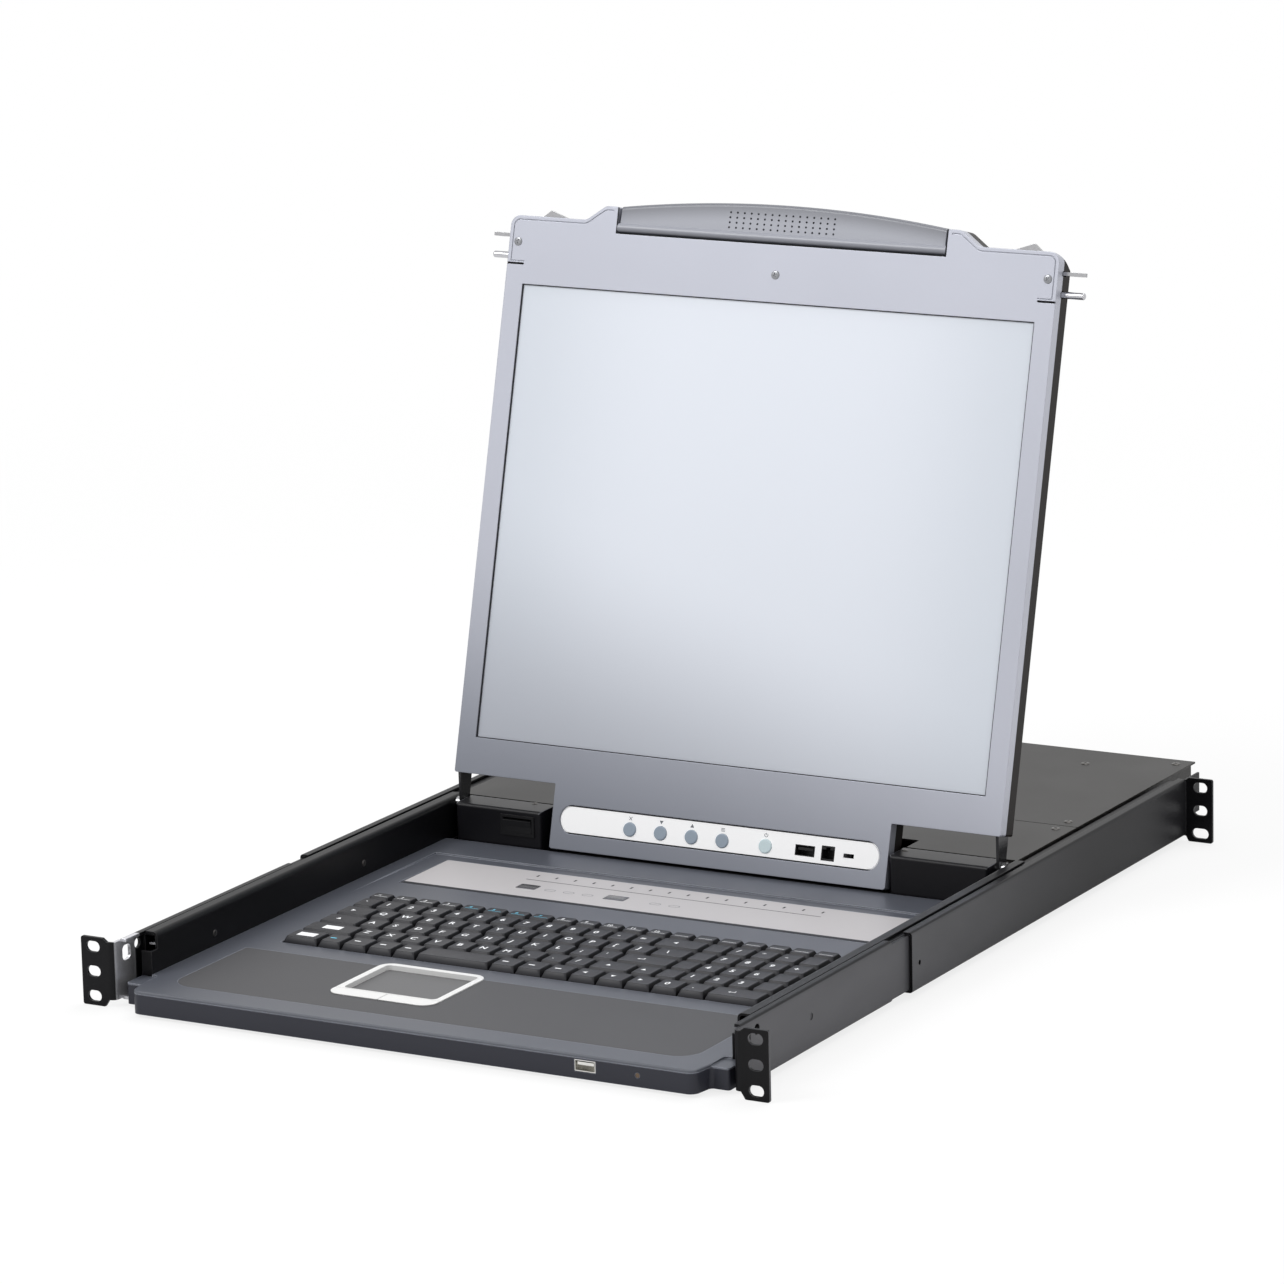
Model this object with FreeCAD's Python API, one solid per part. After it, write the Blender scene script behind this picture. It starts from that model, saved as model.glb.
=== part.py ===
import FreeCAD, Part
import math
import os

Vec = FreeCAD.Vector

# Rackmount LCD console drawer, one rack unit high.
# X runs to the right, Y from the front flanges to the back, Z up.
# The origin is the middle of the front rack flanges, on their front face.
# Lengths are millimetres, angles are degrees.

# ---- rack flanges ----
unit_half = 22.0
hole_column = 232.55
flange_margin = 8.75
flange_reach = hole_column + flange_margin
hole_pitch = 15.875
slot_width = 7.0
slot_length = 10.0
rear_slot_length = 12.0
flange_sheet = 2.0
ear_width = 16.1
ear_slant = 3.0
neck_low = -17.4
neck_high = 19.7
neck_bend = 4.0

# ---- slides, from the outside in ----
body_inset = 13.25
body_half = hole_column - body_inset
bracket_lip = 5.5
bracket_low = -18.5
bracket_high = 20.5
lip_front = 9.0
tongue_length = 52.0
rail_sheet = 1.5
rail_lip = 8.0
rail_front = 33.0
sleeve_step = 2.7
sleeve_half = body_half + sleeve_step
sleeve_lip = 6.0
sleeve_play = 0.4
sleeve_front = 224.0
sleeve_gap = 22.0
bracket_length = sleeve_front - sleeve_gap
sleeve_slant = 2.0
rear_tab = 20.0
rear_tab_low = -6.0
bend_radius = 0.6
keeper_below = 7.4
keeper_above = 2.4
keeper_ahead = 3.3
keeper_behind = 5.5
pin_play = 1.0
ball_size = 4.0
ball_play = 0.05
ball_inset = 5.3
balls_per_row = 4
ball_pitch = 44.0
cage_sheet = 0.6
cage_play = 0.6
cage_lead = 235.0
runner_gap = 1.7
runner_reach = 4.4
runner_front = 32.0
side_sheet = 1.5
side_flange = 6.9
side_fold = 3.3
side_start = 23.0
side_return = 5.9
rail_outer = body_half - flange_sheet
rail_low = bracket_low + flange_sheet
rail_high = bracket_high - flange_sheet
rail_mid = (rail_low + rail_high) / 2
race_half = (rail_high - rail_low) / 2 - rail_sheet
ball_up = race_half - ball_play - ball_size / 2
ball_x = rail_outer - rail_sheet - ball_inset
runner_half = ball_up - ball_size / 2 - ball_play
runner_outer = rail_outer - rail_lip - runner_gap
runner_inner = runner_outer - rail_sheet
side_outer = runner_inner
side_inner = side_outer - side_sheet
cage_outer = rail_outer - rail_sheet - cage_play
cage_inner = ball_x - ball_size / 2 - 0.4
cage_half = ball_up + cage_sheet / 2

# ---- keyboard drawer ----
pan_sheet = 1.2
pan_low = -19.8
tail_height = 8.0
deck_top = -4.9
deck_thick = 2.1
deck_front = -11.5
deck_lip = 0.9
deck_corner = 6.0
deck_taper = 2.5
wing_thick = 0.8
wing_front = 5.0
wing_gap = 0.5
wing_inset = 7.3
wing_half = body_half - wing_inset
wing_back = side_start - wing_gap
wing_reach = 12.3
deck_front_half = wing_half - wing_reach
fascia_thick = 2.5
well_gap = 0.8
key_gap = 0.8
key_top = -0.9
key_height = 5.4
key_skirt = 1.2
key_side = 1.5
key_rear = 2.0
key_stem = 3.6
stem_play = 0.4
plate_drop = 3.0
plate_thick = 1.0
plate_rim = 6.0
function_row_depth = 14.0
rest_margin = 28.0
rest_half = wing_half - rest_margin
rest_front = 9.5
rest_depth = 89.5
rest_back = rest_front + rest_depth
rest_corner = 16.0
film_thick = 0.5
pad_left = -85.5
pad_width = 75.0
pad_right = pad_left + pad_width
pad_front = 34.5
pad_length = 71.0
pad_back = pad_front + pad_length
pad_button_depth = 12.5
pad_rim = 4.5
pad_corner = 9.0
pad_bar = 1.0
pad_gap = 0.5
pad_seat = 1.5
pad_depth = 1.7
pad_rise = 0.6
keyboard_gap = 19.8
keyboard_depth = 114.2
keyboard_margin = 41.8
keyboard_front = rest_back + keyboard_gap
keyboard_back = keyboard_front + keyboard_depth
keyboard_half = wing_half - keyboard_margin
ledge_gap = 3.0
ledge_margin = 20.0
ledge_tail = 10.0
strip_gap = 35.0
strip_margin = 15.0
strip_depth = 63.0
ledge_front = keyboard_back + ledge_gap
strip_front = ledge_front + strip_gap
strip_back = strip_front + strip_depth
ledge_back = strip_back + ledge_tail
ledge_half = wing_half - ledge_margin
strip_half = ledge_half - strip_margin
ledge_step = 1.2
strip_seat = 0.5
strip_thick = 0.4
usb_width = 14.4
usb_height = 7.2
port_margin = 88.2
port_x = wing_half - port_margin
port_z = -11.6
led_radius = 1.5
led_margin = 52.6
power_led_x = wing_half - led_margin
power_led_z = -12.6

# ---- hinge blocks ----
block_setback = 36.0
block_front = ledge_back + block_setback
block_top = 20.0
block_sheet = 1.5
block_round = 2.0
block_gap = 1.2
deck_gap = 2.0
deck_back = block_front - deck_gap
block_side_gap = 7.1
block_outer = side_inner - block_side_gap
lid_tongue_half = 124.8
left_foot_gap = 7.7
right_foot_gap = 2.2
block_inner_left = lid_tongue_half + left_foot_gap
block_inner_right = lid_tongue_half + right_foot_gap
rocker_inset = 17.5
rocker_x = -(block_inner_left + rocker_inset)
rocker_z = 9.2
rocker_width = 22.0
rocker_height = 10.5
rocker_rim = 1.8
rocker_lip = 0.8
rocker_wall = 0.9
rocker_pivot = 4.0
rocker_tilt = 7.0

# ---- display ----
hinge_setback = 15.0
hinge_y = block_front + hinge_setback
tail_margin = 7.0
drawer_back = hinge_y + tail_margin
hinge_z = 16.0
hinge_tilt = 14.8
shaft_radius = 2.3
shaft_play = 0.05
leaf_thick = 2.0
leaf_play = 0.1
leaf_length = 47.0
lid_front = 12.4
lid_back = 5.6
lid_bezel_depth = 8.0
lid_sheet = 1.5
lid_side_gap = 1.9
lid_half_low = side_inner - lid_side_gap
lid_taper = 0.3
lid_half_high = lid_half_low - lid_taper
lid_low = 20.4
tongue_drop = 1.7
lid_tongue_low = deck_top - hinge_z - tongue_drop
shoulder_drop = 0.1
lid_shoulder = hinge_y - shoulder_drop
slope_front = -9.0
slope_drop = 10.4
handle_half = 122.0
post_rise = 10.0
post_gap = 9.0
post_slant = 14.0
lid_post = lid_shoulder + post_rise
post_head = handle_half + post_gap
post_foot = post_head + post_slant
seam_length = 12.8
seam_drop = 32.7
seam_inner = lid_half_high - seam_length
seam_up = lid_shoulder - seam_drop
seam_width = 1.0
seam_depth = 1.0
rim_width = 2.4
rim_groove = 0.5
rim_depth = 0.5
screen_low = 44.9
screen_side = 13.45
screen_crown = 45.6
screen_half = lid_half_low - screen_side
screen_height = lid_shoulder - screen_crown - screen_low
screen_margin = 5.0
screen_depth = 9.0
handle_drop = 7.9
handle_low = lid_shoulder - handle_drop
handle_rise = 0.5
handle_end = lid_post + handle_rise
handle_crown = 8.0
handle_play = 0.8
handle_round = 2.5
bead_height = 6.6
bead_step = 1.2
bead_proud = 0.5
strip_mid = -2.1
button_up = -3.9
port_up = -3.7
strip_radius = 8.6
strip_inset = 6.8
strip_reach = lid_tongue_half - strip_inset
strip_groove = 1.0
button_radius = 4.7
button_play = 0.15
button_proud = 1.0
button_xs = {"exit": -65.7, "down": -42.6, "up": -19.5, "menu": 3.4, "panel_power": 35.4}
tab_inset = 17.4
tab_width = 21.0
tab_peak_inset = 6.3
tab_outer = lid_half_high - tab_inset
tab_inner = tab_outer - tab_width
tab_peak = tab_outer - tab_peak_inset
tab_rise = 5.3
catch_thick = 2.4
catch_play = 0.4
catch_travel = 8.0
bolt_half = 2.4
latch_short = 0.7
latch_tip = body_half - latch_short
wedge_drop = 13.0
wedge_up = lid_shoulder - wedge_drop
bar_rise = 3.4
pin_pitch = 13.5
pin_up = wedge_up - pin_pitch
latch_depth = -3.0
pin_radius = 2.3

strip_usb_x = 64.5
jack_x = 81.3
jack_half = 4.9
switch_x = 95.4
switch_half = 1.2
switch_travel = 2.0

# ---- rear case ----
case_gap = 1.0
middle_length = 89.0
rear_length = 188.0
case_front = drawer_back + case_gap
cover_seam = case_front + middle_length
case_back = cover_seam + rear_length
flange_setback = 46.0
rear_flange = case_back - flange_setback
rail_length = rear_flange - flange_sheet - rail_front
runner_short = 41.0
runner_length = rail_length - runner_short
case_side_gap = 0.4
case_half = side_inner - case_side_gap
case_sheet = 1.2
cover_sheet = 1.2
cover_lap = 3.1
cover_half = case_half + cover_lap
cover_top = 20.0
seam_gap = 0.8
notch_side = 3.2
notch_play = 0.4
strap_half = 14.0
case_flange = 14.0
back_flange = 42.0
spacer_setback = 34.0
spacer_front = rear_flange - spacer_setback
spacer_length = 26.0
board_low = -14.0
board_thick = 1.6
port_count = 8
port_pitch = 34.0
first_port_inset = 28.2
port_first = -(case_half - first_port_inset)
board_margin = 12.2
board_left = -(case_half - board_margin)
board_right = port_first + (port_count - 1) * port_pitch + 46
board_setback = 37.0
board_front = case_front + board_setback
supply_gap = 10.0
supply_margin = 8.0
supply_setback = 24.0
supply_top = 12.0
port_z_rear = -4.0
d_wide = 16.8
d_tall = 8.4
inlet_inset = 36.2
inlet_x = case_half - inlet_inset
inlet_z = -4.0
inlet_half = 13.4
inlet_tall = 9.8
screw_head = 3.0
screw_rise = 0.6
screw_shank = 1.5

os.makedirs("parts", exist_ok=True)


# ---- shared shapes ----

def box(x0, x1, y0, y1, z0, z1):
    return Part.makeBox(x1 - x0, y1 - y0, z1 - z0, Vec(x0, y0, z0))


def place(plane, a, b, c):
    """Point (a, b) of a named plane, at height c above it."""
    if plane == "xy":
        return Vec(a, b, c)
    if plane == "xz":
        return Vec(a, c, b)
    return Vec(c, a, b)


def outline(points, plane="xy", level=0.0):
    """Closed face through points (a, b) or (a, b, corner radius)."""
    count = len(points)
    corners = []
    for i in range(count):
        a, b = points[i][0], points[i][1]
        radius = points[i][2] if len(points[i]) > 2 else 0.0
        if radius <= 0.0:
            corners.append([(a, b)])
            continue
        back = (points[i - 1][0] - a, points[i - 1][1] - b)
        ahead = (points[(i + 1) % count][0] - a, points[(i + 1) % count][1] - b)
        back_len = math.hypot(*back)
        ahead_len = math.hypot(*ahead)
        back = (back[0] / back_len, back[1] / back_len)
        ahead = (ahead[0] / ahead_len, ahead[1] / ahead_len)
        half = math.acos(max(-1.0, min(1.0, back[0] * ahead[0] + back[1] * ahead[1]))) / 2
        reach = radius / math.tan(half)
        mid = (back[0] + ahead[0], back[1] + ahead[1])
        mid_len = math.hypot(*mid)
        out = radius / math.sin(half) - radius
        corners.append([
            (a + back[0] * reach, b + back[1] * reach),
            (a + mid[0] / mid_len * out, b + mid[1] / mid_len * out),
            (a + ahead[0] * reach, b + ahead[1] * reach),
        ])
    edges = []
    for i in range(count):
        here = [place(plane, p[0], p[1], level) for p in corners[i]]
        following = place(plane, *corners[(i + 1) % count][0], level)
        if len(here) == 3:
            edges.append(Part.Arc(*here).toShape())
        if here[-1].distanceToPoint(following) > 1e-6:
            edges.append(Part.makeLine(here[-1], following))
    return Part.Face(Part.Wire(edges))


def prism(points, plane, low, high):
    """Straight solid on an outline, from low to high across its plane."""
    return outline(points, plane, low).extrude(place(plane, 0, 0, high - low))


def rounded(a0, a1, b0, b1, radius):
    return [(a0, b0, radius), (a1, b0, radius), (a1, b1, radius), (a0, b1, radius)]


def rod(axis, a, b, low, high, radius):
    """Cylinder along one axis, with (a, b) its place on the other two, in XYZ order."""
    start = {"x": Vec(low, a, b), "y": Vec(a, low, b), "z": Vec(a, b, low)}[axis]
    way = {"x": Vec(1, 0, 0), "y": Vec(0, 1, 0), "z": Vec(0, 0, 1)}[axis]
    return Part.makeCylinder(radius, high - low, start, way)


def slot(x, z, length, width, low, high):
    """Round-ended slot along X, cut through in Y."""
    half = length / 2
    return prism(rounded(x - half, x + half, z - width / 2, z + width / 2, width / 2 - 0.01), "xz", low, high)


def channel(web, lips, low, high, sheet, front, back):
    """C section along Y, its web's far face at X = web and its lips' edges at X = lips."""
    inner = web - sheet if web > lips else web + sheet
    outer_bend = bend_radius + sheet
    points = [(web, low, outer_bend), (web, high, outer_bend), (lips, high), (lips, high - sheet),
              (inner, high - sheet, bend_radius), (inner, low + sheet, bend_radius), (lips, low + sheet), (lips, low)]
    return prism(points, "xz", front, back)


def fuse(first, *others):
    return first.fuse(list(others)).removeSplitter()


def cut(first, *others):
    return first.cut(list(others))


def mirror(shape):
    return shape.mirror(Vec(0, 0, 0), Vec(1, 0, 0))


def group(shapes):
    return Part.makeCompound(shapes)


def save(name, shape):
    for solid in shape.Solids:
        if not solid.isValid():
            print("invalid solid in", name)
    print(name, len(shape.Solids), round(shape.Volume, 1))
    shape.exportStep("parts/" + name + ".step")


def save_pair(name, right_shape):
    save(name + "_right", right_shape)
    save(name + "_left", mirror(right_shape))


# ---- front brackets: flange, keeper web and side plate in one bent sheet ----

def flange_holes(length, low, high):
    return [slot(hole_column, row * hole_pitch, length, slot_width, low, high) for row in (-1, 0, 1)]


def front_bracket():
    """Ear, rounded neck and side plate bent from one sheet, with the windows that hold the closed display."""
    inner = body_half - flange_sheet
    ear = flange_reach - ear_width
    neck = ear - ear_slant
    flange = prism([(neck - 1, neck_low), (neck, neck_low), (ear, -unit_half, 1), (flange_reach, -unit_half, 1.5),
                    (flange_reach, unit_half, 1.5), (ear, unit_half, 1), (neck, neck_high), (neck - 1, neck_high)],
                   "xz", 0, flange_sheet)
    angle = prism([(inner, 0, neck_bend), (neck, 0), (neck, flange_sheet),
                   (body_half, flange_sheet, neck_bend - flange_sheet), (body_half, lip_front), (inner, lip_front)],
                  "xy", neck_low, neck_high)
    plate = channel(body_half, body_half - bracket_lip, bracket_low, bracket_high, flange_sheet,
                    lip_front, bracket_length)
    tongue = box(inner, body_half, bracket_length, bracket_length + tongue_length, rail_low, rail_high)
    up = hinge_z + latch_depth
    bolt = hinge_y - wedge_up
    keepers = [
        prism(rounded(bolt - keeper_ahead, bolt + keeper_behind, up - keeper_below, up + keeper_above, 3.0),
              "yz", inner - 1, body_half + 1),
        rod("x", hinge_y - pin_up, up, inner - 1, body_half + 1, pin_radius + pin_play),
    ]
    dimple = rod("x", 95.0, 2.0, body_half - 0.5, body_half + 1, 2.2)
    bracket = fuse(flange, angle, plate, tongue)
    return cut(bracket, dimple, *keepers, *flange_holes(slot_length, -1, flange_sheet + 1))


# ---- telescopic slides ----

def side_rail():
    rail = channel(rail_outer, rail_outer - rail_lip, rail_low, rail_high, rail_sheet,
                   rail_front, rail_front + rail_length)
    holes = [rod("x", y, rail_mid, rail_outer - rail_sheet - 1, rail_outer + 1, 2.0)
             for y in (rail_front + 180, rail_front + rail_length - 90)]
    return cut(rail, *holes)


def slide_runner():
    return channel(runner_inner, runner_outer + runner_reach, rail_mid - runner_half, rail_mid + runner_half,
                   rail_sheet, runner_front, runner_front + runner_length)


def ball_cage():
    cage_length = ball_pitch * (balls_per_row - 1) + 3 * ball_size
    strip = channel(cage_outer, cage_inner, rail_mid - cage_half, rail_mid + cage_half, cage_sheet,
                    cage_lead, cage_lead + cage_length)
    balls = []
    pockets = []
    for row in (-1, 1):
        for i in range(balls_per_row):
            y = cage_lead + 1.5 * ball_size + i * ball_pitch
            z = rail_mid + row * ball_up
            balls.append(Part.makeSphere(ball_size / 2, Vec(ball_x, y, z)))
            pockets.append(rod("z", ball_x, y, z - cage_sheet, z + cage_sheet, ball_size / 2 + 0.03))
    return group([cut(strip, *pockets)] + balls)


def drawer_side():
    """Side wall of the drawer: folded outwards over the slide, closed in front, notched for the display's pin."""
    outer = side_outer + side_flange
    wall = prism([(side_inner, pan_low), (side_inner, bracket_high, side_fold), (outer, bracket_high),
                  (outer, bracket_high - side_sheet), (side_outer, bracket_high - side_sheet, side_fold - side_sheet),
                  (side_outer, pan_low)], "xz", side_start, drawer_back)
    front = box(side_inner, side_outer + side_return, side_start, side_start + side_sheet,
                pan_low, bracket_high - side_fold)
    pin_low = hinge_z + latch_depth - pin_radius - pin_play
    pin_back = hinge_y - pin_up + pin_radius + pin_play
    notch = box(side_inner - 1, outer + 1, side_start - 1, pin_back, pin_low, bracket_high + 1)
    return cut(fuse(wall, front), notch, rod("x", hinge_y, hinge_z, side_inner - 1, side_outer + 1, shaft_radius))


def rear_bracket():
    low = rail_low - sleeve_play - rail_sheet
    high = rail_high + sleeve_play + rail_sheet
    sleeve = channel(sleeve_half, sleeve_half - sleeve_lip, low, high, rail_sheet,
                     sleeve_front, rear_flange - flange_sheet / 2)
    inner = sleeve_half - rail_sheet
    flange = prism([(inner, low), (sleeve_half, low), (sleeve_half + sleeve_slant, -unit_half, 1),
                    (flange_reach, -unit_half, 1.5), (flange_reach, unit_half, 1.5),
                    (sleeve_half + sleeve_slant, unit_half, 1), (sleeve_half, high), (inner, high)],
                   "xz", rear_flange - flange_sheet, rear_flange)
    tab = box(inner, sleeve_half, rear_flange - flange_sheet, rear_flange + rear_tab, rear_tab_low, high)
    holes = flange_holes(slot_length, rear_flange - flange_sheet - 1, rear_flange + 1)
    holes[0] = slot(hole_column, -hole_pitch, rear_slot_length, slot_width, rear_flange - flange_sheet - 1,
                    rear_flange + 1)
    clamp_hole = rod("x", sleeve_front + 10, rail_mid - 2, sleeve_half - 3, sleeve_half + 1, 1.6)
    return cut(fuse(sleeve, flange, tab), clamp_hole, *holes)


# ---- keyboard drawer: pan, deck and what sits in the deck ----

deck_under = deck_top - deck_thick
pan_inner = side_inner - pan_sheet
pad_split = pad_front + pad_button_depth
pad_level = deck_top - pad_depth


def deck_edge(inset):
    """Front edge and wings of the drawer, as the right half of an outline, drawn in by inset."""
    return [
        (0, deck_front + inset),
        (deck_front_half - inset - deck_taper, deck_front + inset, deck_corner - inset),
        (deck_front_half - inset, wing_front + inset, 3 + inset),
        (wing_half - inset, wing_front + inset, 2),
        (wing_half - inset, wing_back),
    ]


def both_sides(right_points):
    """Close the right half of an outline with its mirror image."""
    left = [(-p[0],) + tuple(p[1:]) for p in reversed(right_points) if p[0] > 0]
    return right_points + left


def tray_pan():
    edge = deck_edge(fascia_thick) + [(side_inner, wing_back), (side_inner, drawer_back), (0, drawer_back)]
    floor = prism(both_sides(edge), "xy", pan_low, pan_low + pan_sheet)
    walls = [box(x, x + pan_sheet, side_start, drawer_back, pan_low, deck_under)
             for x in (-side_inner, pan_inner)]
    tail = box(-side_inner, side_inner, drawer_back - pan_sheet, drawer_back, pan_low, pan_low + tail_height)
    louvres = [prism(rounded(x - 1.5, x + 1.5, 320, 342, 1.4), "xy", pan_low - 1, pan_low + pan_sheet + 1)
               for x in range(-120, 121, 30)]
    return cut(fuse(floor, tail, *walls), *louvres)


def keyboard_well(grow, low, high):
    half = keyboard_half + grow
    return prism(rounded(-half, half, keyboard_front - grow, keyboard_back + grow, 1.5), "xy", low, high)


def pad_outline(inset, corner):
    return rounded(pad_left + inset, pad_right - inset, pad_front + inset, pad_back - inset, corner)


def keyboard_deck():
    raised = deck_edge(0.0)[:2] + [(deck_front_half, wing_front), (deck_front_half, wing_back, 3),
                                   (side_inner, wing_back), (side_inner, deck_back), (0, deck_back)]
    plate = prism(both_sides(raised), "xy", deck_under, deck_top)
    lip = [edge for edge in plate.Edges
           if edge.BoundBox.ZMin > deck_top - 0.01 and edge.BoundBox.YMax < wing_front + 0.1]
    plate = plate.makeFillet(deck_lip, lip)
    wings = [prism([(side * deck_front_half, wing_front), (side * wing_half, wing_front, 2),
                    (side * wing_half, wing_back), (side * deck_front_half, wing_back)],
                   "xy", deck_under, deck_under + wing_thick) for side in (-1, 1)]
    deck = fuse(plate, *wings)
    rest = prism(rest_outline(0.1), "xy", deck_top - film_thick, deck_top + 1)
    pad = fuse(prism(pad_outline(pad_seat, pad_corner - pad_seat), "xy", deck_under - 1, deck_top),
               prism(pad_outline(-0.1, pad_corner), "xy", deck_top - film_thick, deck_top + 1))
    ramp = prism([(ledge_front, deck_top), (ledge_back, deck_top - ledge_step), (ledge_back, deck_top + 1),
                  (ledge_front, deck_top + 1)], "yz", -ledge_half, ledge_half)
    strip = prism(strip_outline(0.1), "xy", deck_under + strip_seat, deck_top + 1)
    return cut(deck, keyboard_well(well_gap, deck_under - 1, deck_top + 1), rest, pad, ramp, strip)


def rest_outline(grow):
    return [(-rest_half - grow, rest_front - grow, rest_corner), (rest_half + grow, rest_front - grow, rest_corner),
            (rest_half + grow, rest_back + grow, 1.5), (-rest_half - grow, rest_back + grow, 1.5)]


def palm_rest():
    film = prism(rest_outline(0), "xy", deck_top - film_thick, deck_top)
    return cut(film, prism(pad_outline(-0.2, pad_corner), "xy", deck_under, deck_top + 1))


def strip_outline(grow):
    return rounded(-strip_half - grow, strip_half + grow, strip_front - grow, strip_back + grow, 1.0)


def port_strip():
    low = deck_under + strip_seat
    return prism(strip_outline(0), "xy", low, low + strip_thick)


def usb_opening(x, z, low, high):
    return box(x - usb_width / 2, x + usb_width / 2, low, high, z - usb_height / 2, z + usb_height / 2)


def usb_socket(x, z, front, depth):
    wall = 0.6
    mouth = box(x - usb_width / 2 + wall, x + usb_width / 2 - wall, front - 1, front + depth - 3,
                z - usb_height / 2 + wall, z + usb_height / 2 - wall)
    tongue = box(x - usb_width / 2 + 1.6, x + usb_width / 2 - 1.6, front + 1, front + depth - 2, z + 0.2, z + 2.0)
    return fuse(cut(usb_opening(x, z, front, front + depth), mouth), tongue)


def front_fascia():
    outer = both_sides(deck_edge(0.0))
    inner = both_sides(deck_edge(fascia_thick))
    shell = cut(prism(outer, "xy", pan_low, deck_under), prism(inner, "xy", pan_low - 1, deck_under + 1),
                box(-wing_half - 1, wing_half + 1, wing_back - 1, wing_back + 1, pan_low - 1, deck_under + 1))
    back = deck_front + fascia_thick + 1
    lamp = rod("y", power_led_x, power_led_z, deck_front - 1, back, led_radius)
    return cut(shell, usb_opening(port_x, port_z, deck_front - 1, back), lamp)


def power_led():
    back = deck_front + fascia_thick
    lens = rod("y", power_led_x, power_led_z, deck_front + 0.2, back + 3, led_radius)
    return fuse(lens, rod("y", power_led_x, power_led_z, back, back + 1, led_radius + 0.7))


def touchpad_frame():
    rim = prism(pad_outline(0, pad_corner), "xy", deck_top - film_thick, deck_top + pad_rise)
    neck = prism(pad_outline(pad_seat + 0.1, pad_corner - pad_seat - 0.1), "xy", pad_level - 1, deck_top)
    inside = prism(rounded(pad_left + pad_rim, pad_right - pad_rim, pad_split + pad_bar, pad_back - pad_rim + 0.5, 3.5),
                   "xy", pad_level - 2, deck_top + 2)
    front = box(pad_left - 1, pad_right + 1, pad_front - 1, pad_split, pad_level - 2, deck_top + 2)
    return cut(fuse(rim, neck), inside, front)


def touchpad_surface():
    grow = 1.5
    return prism(rounded(pad_left + pad_rim - grow, pad_right - pad_rim + grow, pad_split + 0.2,
                         pad_back - pad_rim + grow, 3.0), "xy", pad_level - 2.2, pad_level - 1)


def touchpad_button_right():
    middle = (pad_left + pad_right) / 2 + pad_gap / 2
    top = prism([(middle, pad_front), (pad_right, pad_front, pad_corner), (pad_right, pad_split - pad_gap),
                 (middle, pad_split - pad_gap)], "xy", deck_top + pad_rise - 0.5, deck_top + pad_rise)
    stem = box(middle + 8, pad_right - 10, pad_front + 3.5, pad_split - 2, deck_under - 2, deck_top + pad_rise - 0.4)
    return fuse(top, stem)


def touchpad_button_left():
    button = mirror(touchpad_button_right())
    button.translate(Vec(pad_left + pad_right, 0, 0))
    return button


# ---- keyboard ----

# widths of the keys of each row, from left to right, in key units
key_rows = {
    "keys_bottom_row": [1.5, 1, 1.1, 1.1, 1, 3.1] + [1.1] * 3 + [1.15] * 2 + [1.1] * 3 + [2.2],
    "keys_lower_row": [2.25] + [1] * 10 + [1.75] + [1] * 6,
    "keys_home_row": [1.75] + [1] * 11 + [2.25] + [1] * 5,
    "keys_upper_row": [1.5] + [1] * 12 + [1.5] + [1] * 5,
    "keys_number_row": [1] * 13 + [2] + [1] * 5,
    "keys_function_row": [1] * 20,
}
row_pitch = (keyboard_back - keyboard_front - function_row_depth) / (len(key_rows) - 1)
key_base = key_top - key_height
plate_top = key_base - plate_drop
plate_low = plate_top - plate_thick


def row_keys(name):
    """Left, right, front and back edge of each key in a row."""
    widths = key_rows[name]
    front = keyboard_front + list(key_rows).index(name) * row_pitch
    depth = function_row_depth if name == "keys_function_row" else row_pitch
    unit = 2 * keyboard_half / sum(widths)
    half_gap = key_gap / 2
    places = []
    left = -keyboard_half
    for width in widths:
        right = left + width * unit
        places.append((left + half_gap, right - half_gap, front + half_gap, front + depth - half_gap))
        left = right
    return places


def stem_box(left, right, front, back, half, low, high):
    x = (left + right) / 2
    y = (front + back) / 2
    return box(x - half, x + half, y - half, y + half, low, high)


def key_cap(left, right, front, back):
    foot = [(left, front), (right, front), (right, back), (left, back)]
    crown = [(left + key_side, front + key_side), (right - key_side, front + key_side),
             (right - key_side, back - key_rear), (left + key_side, back - key_rear)]
    skirt = prism(foot, "xy", key_base, key_base + key_skirt)
    wires = [outline(foot, "xy", key_base + key_skirt).OuterWire, outline(crown, "xy", key_top).OuterWire]
    return fuse(skirt, Part.makeLoft(wires, True, True),
                stem_box(left, right, front, back, key_stem / 2, plate_low - 1, key_base))


def key_row(name):
    return group([key_cap(*key) for key in row_keys(name)])


def keyboard_plate():
    plate = keyboard_well(plate_rim, plate_low, plate_top)
    rim = keyboard_well(plate_rim, plate_top, deck_under).cut(keyboard_well(plate_rim - 2, plate_top, deck_under))
    half = key_stem / 2 + stem_play
    guides = [stem_box(*key, half, plate_low - 1, plate_top + 1) for name in key_rows for key in row_keys(name)]
    return fuse(plate.cut(group(guides)), rim)


# ---- hinge blocks, rocker switch and hinges ----

block_back = drawer_back - pan_sheet
leaf_inner = block_outer + block_gap
leaf_outer = leaf_inner + leaf_thick


def hinge_block(inner):
    """Sheet cover over one hinge, open below, on the drawer's floor."""
    low = pan_low + pan_sheet
    shell = box(inner, block_outer, block_front, block_back, low, block_top)
    shell = shell.makeFillet(block_round, [edge for edge in shell.Edges
                                           if edge.BoundBox.YMax < block_front + 0.1 and edge.BoundBox.ZMax > low + 1])
    hollow = box(inner + block_sheet, block_outer - block_sheet, block_front + block_sheet, block_back - block_sheet,
                 low - 1, block_top - block_sheet)
    bearing = rod("x", hinge_y, hinge_z, block_outer - block_sheet - 1, block_outer + 1, shaft_radius)
    return cut(shell, hollow, bearing)


def rocker_window(grow, front, back):
    """Block the size of the rocker switch's hole, from its front to its back in Y."""
    wide = rocker_width / 2 + grow
    tall = rocker_height / 2 + grow
    return box(rocker_x - wide, rocker_x + wide, front, back, rocker_z - tall, rocker_z + tall)


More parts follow.
